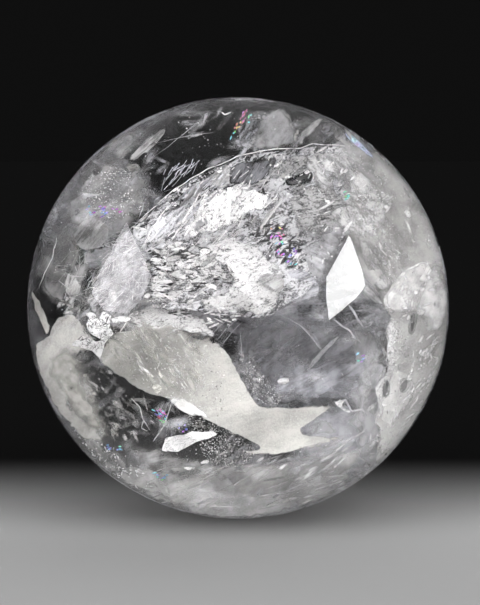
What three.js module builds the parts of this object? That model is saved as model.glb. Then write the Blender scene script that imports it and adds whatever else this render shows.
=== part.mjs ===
// A polished sphere of clear quartz, ground from one piece of rock crystal.
// It stands on a small flat spot ground on its underside, so that it doesn't roll.
// Millimetres, +Z up. The origin is the middle of the flat spot, which is the lowest point.
import * as THREE from "three";

// Driving dimensions
const DIAMETER = 80;
const FLAT_DIAMETER = 12;

// Fineness of the facets: steps round the vertical axis, and up each half of the profile
const STEPS_ROUND = 72;
const STEPS_PER_HALF = 18;

const RADIUS = DIAMETER / 2;
const FLAT_RADIUS = FLAT_DIAMETER / 2;
// The flat cuts a shallow cap off the sphere, so the centre is a little lower than a radius.
const CENTRE_HEIGHT = Math.sqrt(RADIUS ** 2 - FLAT_RADIUS ** 2);
const QUARTER_TURN = Math.PI / 2;

// A point of the round profile, at an angle above the equator: x is outwards and y is up.
function profilePoint(latitude) {
  return new THREE.Vector2(
    RADIUS * Math.cos(latitude),
    CENTRE_HEIGHT + RADIUS * Math.sin(latitude),
  );
}

// The profile from the middle of the flat, out to its edge, up round the side and in to the top.
// Both halves end on the equator, so that the facets have the sphere's full diameter there.
function sphereProfile() {
  const flatEdgeLatitude = -Math.acos(FLAT_RADIUS / RADIUS);
  const points = [new THREE.Vector2(0, 0), new THREE.Vector2(FLAT_RADIUS, 0)];
  for (let step = 1; step <= STEPS_PER_HALF; step++) {
    points.push(profilePoint(flatEdgeLatitude * (1 - step / STEPS_PER_HALF)));
  }
  for (let step = 1; step < STEPS_PER_HALF; step++) {
    points.push(profilePoint((QUARTER_TURN * step) / STEPS_PER_HALF));
  }
  points.push(new THREE.Vector2(0, CENTRE_HEIGHT + RADIUS));
  return points;
}

// The stone: the profile turned about the vertical axis, all one body.
function quartzSphere() {
  const geometry = new THREE.LatheGeometry(sphereProfile(), STEPS_ROUND);
  geometry.rotateX(QUARTER_TURN);
  const clearQuartz = new THREE.MeshStandardMaterial({
    color: 0xdcdcd8,
    roughness: 0.03,
    metalness: 0,
    transparent: true,
    opacity: 0.4,
  });
  const sphere = new THREE.Mesh(geometry, clearQuartz);
  sphere.name = "quartz_sphere";
  return sphere;
}

const stone = new THREE.Group();
stone.add(quartzSphere());

export default stone;
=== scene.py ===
# %% [markdown]
# # A polished quartz sphere with veils and fractures inside
#
# The real object is one ball, ground and polished from a piece of natural rock crystal. Its outside is
# plain. What it shows lies inside: healed cracks and trapped bubbles make white veils, open cracks shine
# like mirrors, and where a crack is very thin it shows rainbow colours. So the lesson makes one clear
# ball of glass-like quartz, and fills it with thin sheets, each at the place where the photograph shows it.

import math

import bpy
import numpy as np
from mathutils import Matrix


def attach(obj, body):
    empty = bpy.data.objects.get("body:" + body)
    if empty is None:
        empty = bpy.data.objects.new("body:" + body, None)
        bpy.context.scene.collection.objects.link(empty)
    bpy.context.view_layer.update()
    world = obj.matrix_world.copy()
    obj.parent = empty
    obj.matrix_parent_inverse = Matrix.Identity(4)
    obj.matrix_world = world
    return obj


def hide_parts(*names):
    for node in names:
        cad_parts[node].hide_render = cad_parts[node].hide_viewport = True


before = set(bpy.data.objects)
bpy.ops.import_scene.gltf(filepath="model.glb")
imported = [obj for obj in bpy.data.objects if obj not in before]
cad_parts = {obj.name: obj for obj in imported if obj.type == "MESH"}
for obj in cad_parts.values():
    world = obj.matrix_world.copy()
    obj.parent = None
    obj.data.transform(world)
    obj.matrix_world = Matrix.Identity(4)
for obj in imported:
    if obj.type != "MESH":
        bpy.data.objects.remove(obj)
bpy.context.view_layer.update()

# %% [markdown]
# ## The ball's measures
#
# The ball is 80 mm across and stands on a small ground flat, so that it doesn't roll. The flat takes a
# shallow cap off the ball, which puts the centre a little lower than one radius. Quartz bends light more
# than water and about as much as window glass.

# %% Measures
RADIUS = 0.040
FLAT_RADIUS = 0.006
CENTRE = np.array([0.0, 0.0, math.sqrt(RADIUS**2 - FLAT_RADIUS**2)])
QUARTZ_IOR = 1.544
print("centre above the floor, mm:", round(1000 * CENTRE[2], 2))

# %% [markdown]
# ## The camera
#
# In the photograph the ball is a circle, of which the centre and the radius can be measured in pixels. A
# camera 0.5 m away looks slightly down. The lens follows from the circle: the ball's edge is seen under
# the angle whose sine is radius / distance, and that angle must cover the circle's radius in pixels. The
# camera is then placed so that the ball's centre falls on the circle's centre.

# %% Camera
FRAME_WIDTH, FRAME_HEIGHT = 480, 605
OUTLINE_X, OUTLINE_Y, OUTLINE_RADIUS = 238.0, 308.0, 211.0
ELEVATION = math.radians(5)
CAMERA_DISTANCE = 0.50
SENSOR_MM = 36.0

focal_px = OUTLINE_RADIUS / math.tan(math.asin(RADIUS / CAMERA_DISTANCE))
forward = np.array([0.0, math.cos(ELEVATION), -math.sin(ELEVATION)])
right = np.array([1.0, 0.0, 0.0])
up = np.cross(right, forward)


def pixel_way(px, py):
    """Directions through pixels: forward + x / f right + y / f up, with x and y from the middle."""
    across = (np.asarray(px) - FRAME_WIDTH / 2) / focal_px
    upward = (FRAME_HEIGHT / 2 - np.asarray(py)) / focal_px
    return forward + across[..., None] * right + upward[..., None] * up


eye = CENTRE - CAMERA_DISTANCE * pixel_way(OUTLINE_X, OUTLINE_Y)
camera_data = bpy.data.cameras.new("camera")
camera_data.sensor_fit = "HORIZONTAL"
camera_data.sensor_width = SENSOR_MM
camera_data.lens = focal_px * SENSOR_MM / FRAME_WIDTH
camera = bpy.data.objects.new("camera", camera_data)
camera.matrix_world = Matrix(np.vstack([np.column_stack([right, up, -forward, eye]), [0, 0, 0, 1]]))
bpy.context.scene.collection.objects.link(camera)
bpy.context.scene.camera = camera
print("lens, mm:", round(camera_data.lens, 1), "camera at", eye.round(3))

# %% [markdown]
# ## From a pixel to a place inside the ball
#
# A veil could be placed by eye, but the ball is a strong lens: what seems to lie in one place lies in
# another. So each sight line is followed through its pixel to the ball, bent there as quartz bends it, and
# followed on to a chosen depth. A sheet that is drawn on the photograph's pixels then looks right from the
# camera, and is still a true sheet in space from every other side.

# %% Sight lines
EDGE_SHARE = 0.992
CHORD_FROM, CHORD_TO = 0.03, 0.97
LOWEST = 0.0006
BACK_FROM, BACK_FADE = 0.001, 0.012
PX_MM = RADIUS * 1000 / OUTLINE_RADIUS


def sight(px, py):
    """Sight lines that meet the ball: their way, and the entry seen from the centre, at |eye + t way| = R."""
    way = pixel_way(px, py)
    way = way / np.linalg.norm(way, axis=-1, keepdims=True)
    back = eye - CENTRE
    half = way @ back
    reach = -half - np.sqrt(np.maximum(half**2 - (back @ back - RADIUS**2), 0))
    return way, back + reach[..., None] * way


def refracted(px, py, depth):
    """Bent sight lines: entry, way, chord, and the s that meets a depth, (entry + s way) . forward = d R.

    Snell's law as vectors: bent = way / n + (cos a / n - sqrt(1 - (1 - cos a squared) / n squared)) normal.
    """
    px, py, depth = np.broadcast_arrays(*map(np.asarray, (px, py, depth)))
    dx, dy = px - OUTLINE_X, py - OUTLINE_Y
    shrink = np.minimum(1, EDGE_SHARE * OUTLINE_RADIUS / np.maximum(np.hypot(dx, dy), 1e-6))
    way, entry = sight(OUTLINE_X + dx * shrink, OUTLINE_Y + dy * shrink)
    normal = entry / np.linalg.norm(entry, axis=-1, keepdims=True)
    cos_in = -(way * normal).sum(-1)
    squeeze = 1 / QUARTZ_IOR
    bend = squeeze * cos_in - np.sqrt(1 - squeeze**2 * (1 - cos_in**2))
    bent = squeeze * way + bend[..., None] * normal
    chord = -2 * (entry * bent).sum(-1)
    along = (depth * RADIUS - entry @ forward) / (bent @ forward)
    return entry, bent, chord, along


def inside(px, py, depth):
    """Places in the ball at a depth, -1 front to 1 back: entry + s way, s within 3 to 97 % of the chord."""
    entry, bent, chord, along = refracted(px, py, depth)
    along = np.clip(along, CHORD_FROM * chord, CHORD_TO * chord)
    place = entry + along[..., None] * bent + CENTRE
    place[..., 2] = np.maximum(place[..., 2], LOWEST)
    return place


def room(px, py, depth):
    """How far a depth is from the nearer end of its line in the ball, in radii: min(s, chord - s) / R."""
    _, _, chord, along = refracted(px, py, depth)
    return np.minimum(along, chord - along) / RADIUS


def back_half(points):
    """Above 0 behind the ball's middle: (y - 1 mm) / 12 mm."""
    return (points[..., 1] - BACK_FROM) / BACK_FADE


print("the circle's middle at depth 0, metres:", inside(OUTLINE_X, OUTLINE_Y, 0.0).round(4))

# %% [markdown]
# ## Natural edges
#
# Nothing in a natural crystal has a straight edge or a flat face. Sums of a few sine waves in random
# directions give soft ups and downs that are the same in each run. An outline is measured with few
# corners, and cutting the corners twice makes it a smooth curve. The distance to the nearest edge, counted
# in fade widths, later tells the material where a veil thins out.

# %% Unevenness and outlines
WAVES = 7
FULL_TURN = 6.28


def wobble(x, y, size, seed):
    """Smooth ups and downs of about -1 to 1: a sum of sines, sin(2 pi (x cos a + y sin a) / s + p) / 3.5."""
    rng = np.random.default_rng(seed)
    total = 0
    for turn, phase, stretch in rng.uniform((0, 0, 0.6), (FULL_TURN, FULL_TURN, 1.6), (WAVES, 3)):
        along = x * math.cos(turn) + y * math.sin(turn)
        total = total + np.sin(FULL_TURN * along / (size * stretch) + phase)
    return total / (WAVES / 2)


def rounded(outline, times=2):
    """The outline with its corners cut: each edge gives its points at 1/4 and 3/4."""
    points = np.asarray(outline, float)
    for _ in range(times):
        ahead = np.roll(points, -1, axis=0)
        cut = np.stack([0.75 * points + 0.25 * ahead, 0.25 * points + 0.75 * ahead], 1)
        points = cut.reshape(-1, points.shape[1])
    return points


def within_outline(x, y, outline, fade, soften=2):
    """How far inside an outline points are: distance to the nearest edge / its fade width, below 0 outside.

    A corner of the outline is (x, y) or (x, y, own fade width). A point is inside where a line to its right
    crosses an odd number of edges.
    """
    points = rounded([(*corner, fade)[:3] for corner in outline], soften)
    a, b = points, np.roll(points, -1, axis=0)
    edge = (b - a)[:, :2]
    gap = np.stack([x, y], -1)[..., None, :] - a[:, :2]
    share = np.clip((gap * edge).sum(-1) / np.maximum((edge**2).sum(-1), 1e-9), 0, 1)
    apart = np.linalg.norm(gap - share[..., None] * edge, axis=-1)
    nearest = apart.argmin(-1)
    nearest_share = np.take_along_axis(share, nearest[..., None], -1)[..., 0]
    wide = a[nearest, 2] + nearest_share * (b - a)[nearest, 2]
    crosses = (a[:, 1] > y[..., None]) != (b[:, 1] > y[..., None])
    rise = np.where(edge[:, 1] == 0, 1e-9, edge[:, 1])
    meets = a[:, 0] + (y[..., None] - a[:, 1]) * edge[:, 0] / rise
    within = (crosses & (x[..., None] < meets)).sum(-1) % 2 == 1
    return np.where(within, apart.min(-1), -apart.min(-1)) / wide


def grid_faces(rows, columns):
    """The quads of a grid: each joins a point, the one below it, the one beside that and the one beside."""
    corner = (np.arange(rows - 1)[:, None] * columns + np.arange(columns - 1)).ravel()
    return np.stack([corner, corner + columns, corner + columns + 1, corner + 1], 1)


print("corners of a square, rounded:", len(rounded([(0, 0), (1, 0), (1, 1), (0, 1)])))

# %% [markdown]
# ## A sheet
#
# A veil is a sheet of tiny bubbles, often bent, that fills a healed crack. It could be a fog, but fog is
# slow to render and has no edge. A thin wavy surface is quick, and turns right in every view. It is a
# grid over the outline's pixels, set at a depth that leans and waves. The grid is a bit larger than the
# outline, and the value "edge" on each point says how far inside it lies. "pale" makes it lighter or
# darker, and "warm" shifts its colour. Its own UV map lays the grain in one direction, in millimetres.

# %% Sheets
OWN_PLACE = 37.0
LARGE_TEAR, SMALL_TEAR = 26, 9
HOLE_FADE = 3
CUT_FROM, CUT_FADE = 0.05, 0.15


def sheet(outline, depth, lean=(0, 0), wave=0.03, wave_px=60, streak=0, grain=1.0, step=2.2, seed=1,
          fade=3, pale=1.0, warm=0.0, ragged=2.0, holes=(), cross=False, soften=2, keep=None):
    """Arrays of a sheet in an outline: depth + lean . (x, y) / 100 + wave x wobble, along each sight line.

    "ragged" tears its edge by so many pixels, and over "fade" pixels it thins out. "streak" is the grain's
    direction in degrees, and "grain" its size. "holes" are outlines left open. "cross" ends the sheet where
    it meets the ball's surface, and "keep" where a value of its places falls to 0.
    """
    corners = np.array([p[:2] for p in outline], float)
    low, high = corners.min(0) - 2 - 2 * ragged, corners.max(0) + 2 + 2 * ragged
    x, y = np.meshgrid(np.arange(low[0], high[0] + step, step), np.arange(low[1], high[1] + step, step))
    torn_x, torn_y = [
        line + ragged * (wobble(x, y, LARGE_TEAR, own) + 0.5 * wobble(x, y, SMALL_TEAR, own + 1))
        for line, own in ((x, seed + 100), (y, seed + 102))
    ]
    edge = within_outline(torn_x, torn_y, outline, fade, soften)
    for hole in holes:
        edge = np.minimum(edge, -within_outline(torn_x, torn_y, hole, HOLE_FADE))
    middle = corners.mean(0)
    tilt = (lean[0] * (x - middle[0]) + lean[1] * (y - middle[1])) / 100
    level = depth + tilt + wave * wobble(x, y, wave_px, seed)
    points = inside(x, y, level)
    if cross:
        edge = np.minimum(edge, (room(x, y, level) - CUT_FROM) / CUT_FADE)
    if keep:
        edge = np.minimum(edge, keep(points))
    faces = grid_faces(*x.shape)
    faces = faces[(edge.ravel()[faces] > 0).any(1)]
    used, faces = np.unique(faces, return_inverse=True)
    turn = math.radians(streak)
    u = (x * math.cos(turn) - y * math.sin(turn)) * PX_MM / grain
    v = (x * math.sin(turn) + y * math.cos(turn)) * PX_MM / grain
    uv = np.stack([u, v], -1).reshape(-1, 2)[used] + seed * OWN_PLACE
    if isinstance(pale, list):
        tone = np.interp(x.ravel()[used], *zip(*pale))
    else:
        tone = np.full(len(used), float(pale))
    warmth = np.full(len(used), float(warm))
    return points.reshape(-1, 3)[used], faces.reshape(-1, 4), uv, edge.ravel()[used], tone, warmth


TRIAL = sheet([(200, 200), (260, 200), (260, 260), (200, 260)], 0.0)
print("a sheet 60 pixels wide:", len(TRIAL[0]), "points,", np.ptp(TRIAL[0], axis=0).round(4), "metres")

# %% [markdown]
# ## Scattered patches and threads
#
# Wisps, streaks and bright specks come by the hundred. Each is a small bent patch with few faces, and all
# of them are made in one go: every number of the grid has an extra axis for the patch it belongs to. A
# thread is a crack seen from its edge. It is a narrow ribbon along a line, that narrows at its ends.

# %% Patches
TRIES = 12
CURL = 0.25


def in_outline(count, outline, rng, clear=()):
    """Random pixel places inside an outline and outside the clear ones, out of 12 tries for each."""
    corners = np.array([p[:2] for p in outline], float)
    places = rng.uniform(corners.min(0), corners.max(0), (count * TRIES, 2))
    kept = within_outline(places[:, 0], places[:, 1], outline, 1) > 0
    for hole in clear:
        kept &= within_outline(places[:, 0], places[:, 1], hole, 1) < 0
    return places[kept][:count]


def patches(outline, count, length, width, streak=0, spread_turn=25, depth=(-0.3, 0.3), lean=0.6, side=6,
            seed=1, grain=1.0, pale=(0.7, 1.0), warm=0.0, fade=0.9, even=1.5, clear=()):
    """Arrays of many small bent patches, sizes in pixels: place + turned (s long, t wide + curl s squared).

    A size is least + (most - least) random ^ even, so that a high "even" gives few large ones. "streak" is
    their direction in degrees, give or take "spread_turn". "lean" is how far they tip, and "side" the
    points along each side. They keep out of the outlines in "clear".
    """
    rng = np.random.default_rng(seed)
    place = in_outline(count, outline, rng, clear)
    middle = rng.uniform(*depth, len(place))
    count = len(place)
    s, t = np.meshgrid(np.linspace(-1, 1, side), np.linspace(-1, 1, side))
    turn = np.radians(streak + rng.normal(0, spread_turn, count))[:, None, None]
    long, wide = [
        (rng.uniform(0, 1, count) ** even * (most - least) + least)[:, None, None] / 2
        for least, most in (length, width)
    ]
    curl = rng.normal(0, CURL, (2, count, 1, 1))
    a, b = s * long, t * wide + curl[0] * (s**2 - 0.5) * wide
    x = place[:, 0, None, None] + a * np.cos(turn) + b * np.sin(turn)
    y = place[:, 1, None, None] - a * np.sin(turn) + b * np.cos(turn)
    tip = rng.normal(0, lean, (2, count, 1, 1))
    level = middle[:, None, None] + (tip[0] * a + tip[1] * b + curl[1] * s * t * wide) / OUTLINE_RADIUS
    points = inside(x, y, level)
    faces = (np.arange(count)[:, None, None] * side * side + grid_faces(side, side)).reshape(-1, 4)
    edge = np.broadcast_to((1 - np.hypot(s, t)) / fade if fade else 5.0, x.shape)
    shift = rng.uniform(0, 500, (count, 1, 1))
    uv = np.stack([a * PX_MM / grain + shift, b * PX_MM / grain + shift / 2], -1)
    tone, warmth = [
        np.broadcast_to(rng.uniform(*np.broadcast_to(span, 2), count)[:, None, None], x.shape)
        for span in (pale, warm)
    ]
    return points.reshape(-1, 3), faces, uv.reshape(-1, 2), edge.ravel(), tone.ravel(), warmth.ravel()


TRIAL = patches([(200, 200), (260, 200), (260, 260), (200, 260)], 10, (4, 9), (1, 3))
print("ten patches:", len(TRIAL[0]), "points,", len(TRIAL[1]), "faces")

# %% Threads
SHAKE_PX = 0.4


def joined(parts):
    """Several sheets' arrays as one: each sheet's faces are counted on from the points before it."""
    shift, out = 0, [[] for _ in range(6)]
    for points, faces, *rest in parts:
        for store, part in zip(out, (points, faces + shift, *rest)):
            store.append(part)
        shift += len(points)
    return [np.concatenate(part) for part in out]


def threads(lines, seed=1, pale=1.0, warm=0.0):
    """Arrays of thin ribbons: line + half width x its normal, the width growing over the end quarters."""
    parts = []
    for number, (points, depth, width) in enumerate(lines):
        line = np.asarray(points, float)
        length = np.concatenate([[0], np.cumsum(np.linalg.norm(np.diff(line, axis=0), axis=1))])
        at = np.linspace(0, length[-1], max(6, int(length[-1] / 2)))
        x = np.interp(at, length, line[:, 0]) + SHAKE_PX * wobble(at, 0, 14, seed + number)
        y = np.interp(at, length, line[:, 1]) + SHAKE_PX * wobble(at, 0, 17, seed + number + 50)
        slope = np.stack([np.gradient(y), -np.gradient(x)], -1)
        slope /= np.linalg.norm(slope, axis=1, keepdims=True)
        share = at / length[-1]
        half = width / 2 * np.minimum(1, 4 * np.minimum(share, 1 - share) + 0.25)
        across = np.array([-1, 0, 1])
        px = x[:, None] + across * (half * slope[:, 0])[:, None]
        py = y[:, None] + across * (half * slope[:, 1])[:, None]
        level = np.interp(share, np.linspace(0, 1, len(depth)), depth)[:, None] + 0 * px
        uv = np.stack([np.repeat(at[:, None], 3, 1), px - x[:, None]], -1).reshape(-1, 2) * PX_MM
        edge = np.broadcast_to([0.3, 2, 0.3], px.shape).ravel()
        tone, warmth = np.full(px.size, float(pale)), np.full(px.size, float(warm))
        parts.append((inside(px, py, level).reshape(-1, 3), grid_faces(len(at), 3),
                      uv + number * 11 + seed, edge, tone, warmth))
    return joined(parts)


TRIAL = threads([([(200, 200), (260, 200)], (0, 0), 1.0)])
print("a thread 60 pixels long:", len(TRIAL[0]), "points")

# %% [markdown]
# ## A piece
#
# Sheets of one kind are joined into one mesh, so that the ball has 17 pieces and not hundreds. Each rides
# on the one body of the part. Its three values and its grain map go onto the mesh, where the materials
# read them.

# %% Pieces
def add_piece(name, parts, material):
    """A piece made of sheets' arrays, in one material, on the part's body."""
    points, faces, uv, edge, pale, warm = joined(parts)
    mesh = bpy.data.meshes.new(name)
    mesh.from_pydata(points.tolist(), [], faces.tolist())
    mesh.polygons.foreach_set("use_smooth", np.ones(len(faces), bool))
    layer = mesh.uv_layers.new(name="grain")
    layer.data.foreach_set("uv", uv[faces.ravel()].astype(np.float32).ravel())
    for label, values in (("edge", edge), ("pale", pale), ("warm", warm)):
        mesh.attributes.new(label, "FLOAT", "POINT").data.foreach_set("value", values.astype(np.float32))
    mesh.materials.append(material)
    piece = bpy.data.objects.new(name, mesh)
    bpy.context.scene.collection.objects.link(piece)
    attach(piece, "root")
    print(name, len(points), "points", 2 * len(faces), "triangles")
    return piece

# %% [markdown]
# ## Short ways to write nodes
#
# Node trees get long when each node, value and link has a line of its own. These helpers each make one
# node, set what is a number, link what is an output, and give back the output.

# %% Node helpers
def node(tree, kind, **values):
    """A node of a kind with its settings."""
    made = tree.nodes.new(kind)
    for key, value in values.items():
        setattr(made, key, value)
    return made


def feed(tree, socket, value):
    """Give a socket a plain value, or link an output to it."""
    if isinstance(value, bpy.types.NodeSocket):
        tree.links.new(value, socket)
    else:
        socket.default_value = value


def maths(tree, operation, *values, clamp=False):
    """A Math node on outputs or plain numbers; gives its output."""
    made = node(tree, "ShaderNodeMath", operation=operation, use_clamp=clamp)
    for socket, value in zip(made.inputs, values):
        feed(tree, socket, value)
    return made.outputs[0]


def vectors(tree, operation, *values):
    """A Vector Math node on outputs or plain vectors; gives its first output."""
    made = node(tree, "ShaderNodeVectorMath", operation=operation)
    for socket, value in zip(made.inputs, values):
        feed(tree, socket, value)
    return made.outputs[0]


def spread(tree, value, low, high, to_low=0.0, to_high=1.0, eased=True):
    """A value taken from low..high to to_low..to_high, by default with soft ends: 3 t squared - 2 t cubed."""
    made = node(tree, "ShaderNodeMapRange", interpolation_type="SMOOTHSTEP" if eased else "LINEAR")
    sockets = ("Value", "From Min", "From Max", "To Min", "To Max")
    for socket, number in zip(sockets, (value, low, high, to_low, to_high)):
        feed(tree, made.inputs[socket], number)
    return made.outputs[0]


def noise(tree, vector, scale, detail, rough, wanted="Fac"):
    """Cloud noise over a flat map; gives its value, or three values at once as its colour."""
    made = node(tree, "ShaderNodeTexNoise", noise_dimensions="2D")
    for socket, value in (("Vector", vector), ("Scale", scale), ("Detail", detail), ("Roughness", rough)):
        feed(tree, made.inputs[socket], value)
    return made.outputs[wanted]


def read(tree, name):
    """A value that the mesh carries on its points."""
    return node(tree, "ShaderNodeAttribute", attribute_name=name).outputs["Fac"]


def new_group(name, inputs, outputs):
    """A node group with named inputs and their values, and named outputs."""
    tree = bpy.data.node_groups.new(name, "ShaderNodeTree")
    for label, value in inputs.items():
        socket = tree.interface.new_socket(label, in_out="INPUT", socket_type="NodeSocketFloat")
        socket.default_value = value
    for label in outputs:
        tree.interface.new_socket(label, in_out="OUTPUT", socket_type="NodeSocketFloat")
    return tree, node(tree, "NodeGroupInput").outputs, node(tree, "NodeGroupOutput").inputs

# %% [markdown]
# ## The veil pattern
#
# All veils are made by the same thing, cracks that healed more or less, so one node group draws them all.
# Four noises of different size are added up, each with its own share: a large one, a soft one, one drawn
# out along the grain, and a fine one. The sum gives two results. Where it is high the veil is thick, and
# that is the mask. How light it is, is the tone. Where another noise passes its middle value it draws
# thin winding lines, white creases or black cracks. Near its edge a veil tears into flakes, because the
# streaks are taken off the edge value there.

# %% Veil pattern
VEIL_INPUTS = {
    "Length": 3.0, "Width": 1.0, "Large": 0.5, "Soft": 0.0, "Streaky": 1.5, "Fine": 0.5, "Cover": 0.6,
    "Softness": 0.3, "Least": 0.1, "Most": 1.0, "Tear": 0.3, "Black at": 0.2, "White at": 0.8,
    "Creases": 0.0, "Cracks": 0.0, "Sparkle": 0.0, "Rim": 0.0,
}
LARGE_SCALE, DRIFT_SCALE, STREAK_SCALE, FINE_SCALE, GLINT_SCALE = 0.22, 0.6, 1.3, 2.6, 3.4
LINE_HALF_WIDTH = 0.028
PUSH = (1.6, 1.6, 0)
GLINT_FROM, GLINT_TO = 0.7, 0.8
FLAKE_CONTRAST = 2.2
RIM_WIDTH = 0.6


def line_where_middle(tree, value):
    """A thin line where a noise passes its middle value: 1 at 0.5, and 0 from half a line width away."""
    apart = maths(tree, "ABSOLUTE", maths(tree, "SUBTRACT", value, 0.5))
    return spread(tree, apart, 0.0, LINE_HALF_WIDTH, 1.0, 0.0)


def grain_noises(tree, given):
    """The noises on the grain map, by name: the streaky ones read it drawn out and pushed about."""
    uv = node(tree, "ShaderNodeUVMap", uv_map="grain").outputs[0]
    axes = node(tree, "ShaderNodeSeparateXYZ")
    feed(tree, axes.inputs[0], uv)
    drawn = node(tree, "ShaderNodeCombineXYZ")
    feed(tree, drawn.inputs[0], maths(tree, "DIVIDE", axes.outputs[0], given["Length"]))
    feed(tree, drawn.inputs[1], maths(tree, "DIVIDE", axes.outputs[1], given["Width"]))
    drift = noise(tree, drawn.outputs[0], DRIFT_SCALE, 2, 0.6, "Color")
    push = vectors(tree, "SUBTRACT", drift, (0.5, 0.5, 0.5))
    pushed = vectors(tree, "ADD", drawn.outputs[0], vectors(tree, "MULTIPLY", push, PUSH))
    soft, streaks = node(tree, "ShaderNodeSeparateColor"), node(tree, "ShaderNodeSeparateColor")
    feed(tree, soft.inputs[0], drift)
    feed(tree, streaks.inputs[0], noise(tree, pushed, STREAK_SCALE, 5, 0.7, "Color"))
    return {
        "Large": noise(tree, uv, LARGE_SCALE, 2, 0.55),
        "Soft": soft.outputs[2],
        "Streaky": streaks.outputs[0],
        "Fine": noise(tree, uv, FINE_SCALE, 2, 0.7),
        "creases": streaks.outputs[1],
        "cracks": streaks.outputs[2],
        "glints": noise(tree, uv, GLINT_SCALE, 0, 0.5),
    }


def veil_pattern():
    """Mask and tone of a veil: 0.5 + the sum of share x (noise - 0.5), eased between two bounds for each."""
    tree, given, result = new_group("veil pattern", VEIL_INPUTS, ("Mask", "Tone"))
    noises = grain_noises(tree, given)
    creases = maths(tree, "MULTIPLY", line_where_middle(tree, noises["creases"]), given["Creases"])
    cracks = maths(tree, "MULTIPLY", line_where_middle(tree, noises["cracks"]), given["Cracks"])
    # painted glints: white specks where a fine noise passes 0.7, added to the tone and the mask
    glints = maths(tree, "MULTIPLY", spread(tree, noises["glints"], GLINT_FROM, GLINT_TO),
                    given["Sparkle"])
    bright = maths(tree, "ADD", creases, glints)

    total = 0.5
    for name in ("Large", "Soft", "Streaky", "Fine"):
        total = maths(tree, "MULTIPLY_ADD", maths(tree, "SUBTRACT", noises[name], 0.5), given[name], total)
    cut = maths(tree, "SUBTRACT", 1.0, given["Cover"])
    shown = spread(tree, total, maths(tree, "SUBTRACT", cut, given["Softness"]),
                   maths(tree, "ADD", cut, given["Softness"]))
    thick = spread(tree, shown, 0.0, 1.0, given["Least"], given["Most"], eased=False)

    edge = read(tree, "edge")
    held = maths(tree, "MINIMUM", maths(tree, "MAXIMUM", edge, 0.0), 1.0)
    streaks = maths(tree, "SUBTRACT", noises["Streaky"], 0.5)
    flakes = maths(tree, "MULTIPLY_ADD", streaks, FLAKE_CONTRAST, 0.5, clamp=True)
    reach = maths(tree, "MULTIPLY", held, maths(tree, "ADD", given["Tear"], 1.0))
    kept = maths(tree, "SUBTRACT", reach, flakes)
    torn = maths(tree, "DIVIDE", kept, given["Tear"], clamp=True)
    rim = maths(tree, "MULTIPLY", spread(tree, edge, 0.0, RIM_WIDTH, 1.0, 0.0), given["Rim"])
    whole = maths(tree, "MAXIMUM", thick, maths(tree, "ADD", bright, rim, clamp=True))
    feed(tree, result["Mask"], maths(tree, "MULTIPLY", whole, torn))
    plain = spread(tree, total, given["Black at"], given["White at"])
    lit = maths(tree, "ADD", maths(tree, "ADD", plain, bright), rim)
    feed(tree, result["Tone"], maths(tree, "SUBTRACT", lit, cracks, clamp=True))
    return tree


PATTERN = veil_pattern()
print("nodes in the veil pattern:", len(PATTERN.nodes))

# %% [markdown]
# ## A veil's material
#
# A veil scatters light to both sides, so it is part matt surface and part translucent, like paper. Where
# the pattern leaves it open it is transparent. The tone goes from a dark to a light grey, times the
# sheet's own "pale". The colour leans to cream or to blue by its "warm", as iron or tiny bubbles tint it.
# Plain transparency is used there and not refraction, since the crystal is the same on both sides.

# %% Veil material
WARM, COOL = (1.0, 0.975, 0.91), (0.93, 0.925, 1.0)
RELIEF_DEPTH = 0.0006
VEIL_ROUGHNESS, VEIL_SHINE, LET_THROUGH = 0.5, 0.2, 0.35


def mixed(tree, share, first, second):
    """A Mix Shader; gives its output."""
    made = node(tree, "ShaderNodeMixShader")
    for socket, value in zip(made.inputs, (share, first, second)):
        feed(tree, socket, value)
    return made.outputs[0]


def veil_material(name, dark, light, relief=0.5, colour=None, **settings):
    """A veil lit from both sides: its grey is dark + tone x (light - dark), unless it has a colour."""
    material = bpy.data.materials.new(name)
    material.use_nodes = True
    tree = material.node_tree
    tree.nodes.clear()
    pattern = node(tree, "ShaderNodeGroup", node_tree=PATTERN)
    for key, value in settings.items():
        pattern.inputs[key.replace("_", " ")].default_value = value
    tone = pattern.outputs["Tone"]
    if colour:
        paint = colour(tree, tone)
    else:
        tint = node(tree, "ShaderNodeMix", data_type="RGBA")
        warmth = maths(tree, "MULTIPLY_ADD", read(tree, "warm"), 0.5, 0.5, clamp=True)
        feed(tree, tint.inputs["Factor"], warmth)
        feed(tree, tint.inputs["A"], (*COOL, 1))
        feed(tree, tint.inputs["B"], (*WARM, 1))
        scaled = node(tree, "ShaderNodeVectorMath", operation="SCALE")
        feed(tree, scaled.inputs[0], tint.outputs["Result"])
        grey = maths(tree, "MULTIPLY_ADD", tone, light - dark, dark)
        feed(tree, scaled.inputs["Scale"], maths(tree, "MULTIPLY", grey, read(tree, "pale")))
        paint = scaled.outputs[0]

    front = node(tree, "ShaderNodeBsdfPrincipled")
    front.inputs["Roughness"].default_value = VEIL_ROUGHNESS
    front.inputs["Specular IOR Level"].default_value = VEIL_SHINE
    feed(tree, front.inputs["Base Color"], paint)
    bump = node(tree, "ShaderNodeBump")
    bump.inputs["Strength"].default_value = relief
    bump.inputs["Distance"].default_value = RELIEF_DEPTH
    feed(tree, bump.inputs["Height"], tone)
    feed(tree, front.inputs["Normal"], bump.outputs[0])
    behind = node(tree, "ShaderNodeBsdfTranslucent")
    feed(tree, behind.inputs["Color"], paint)
    both = mixed(tree, LET_THROUGH, front.outputs[0], behind.outputs[0])
    clear = node(tree, "ShaderNodeBsdfTransparent")
    surface = mixed(tree, pattern.outputs["Mask"], clear.outputs[0], both)
    feed(tree, node(tree, "ShaderNodeOutputMaterial").inputs["Surface"], surface)
    return material

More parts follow.
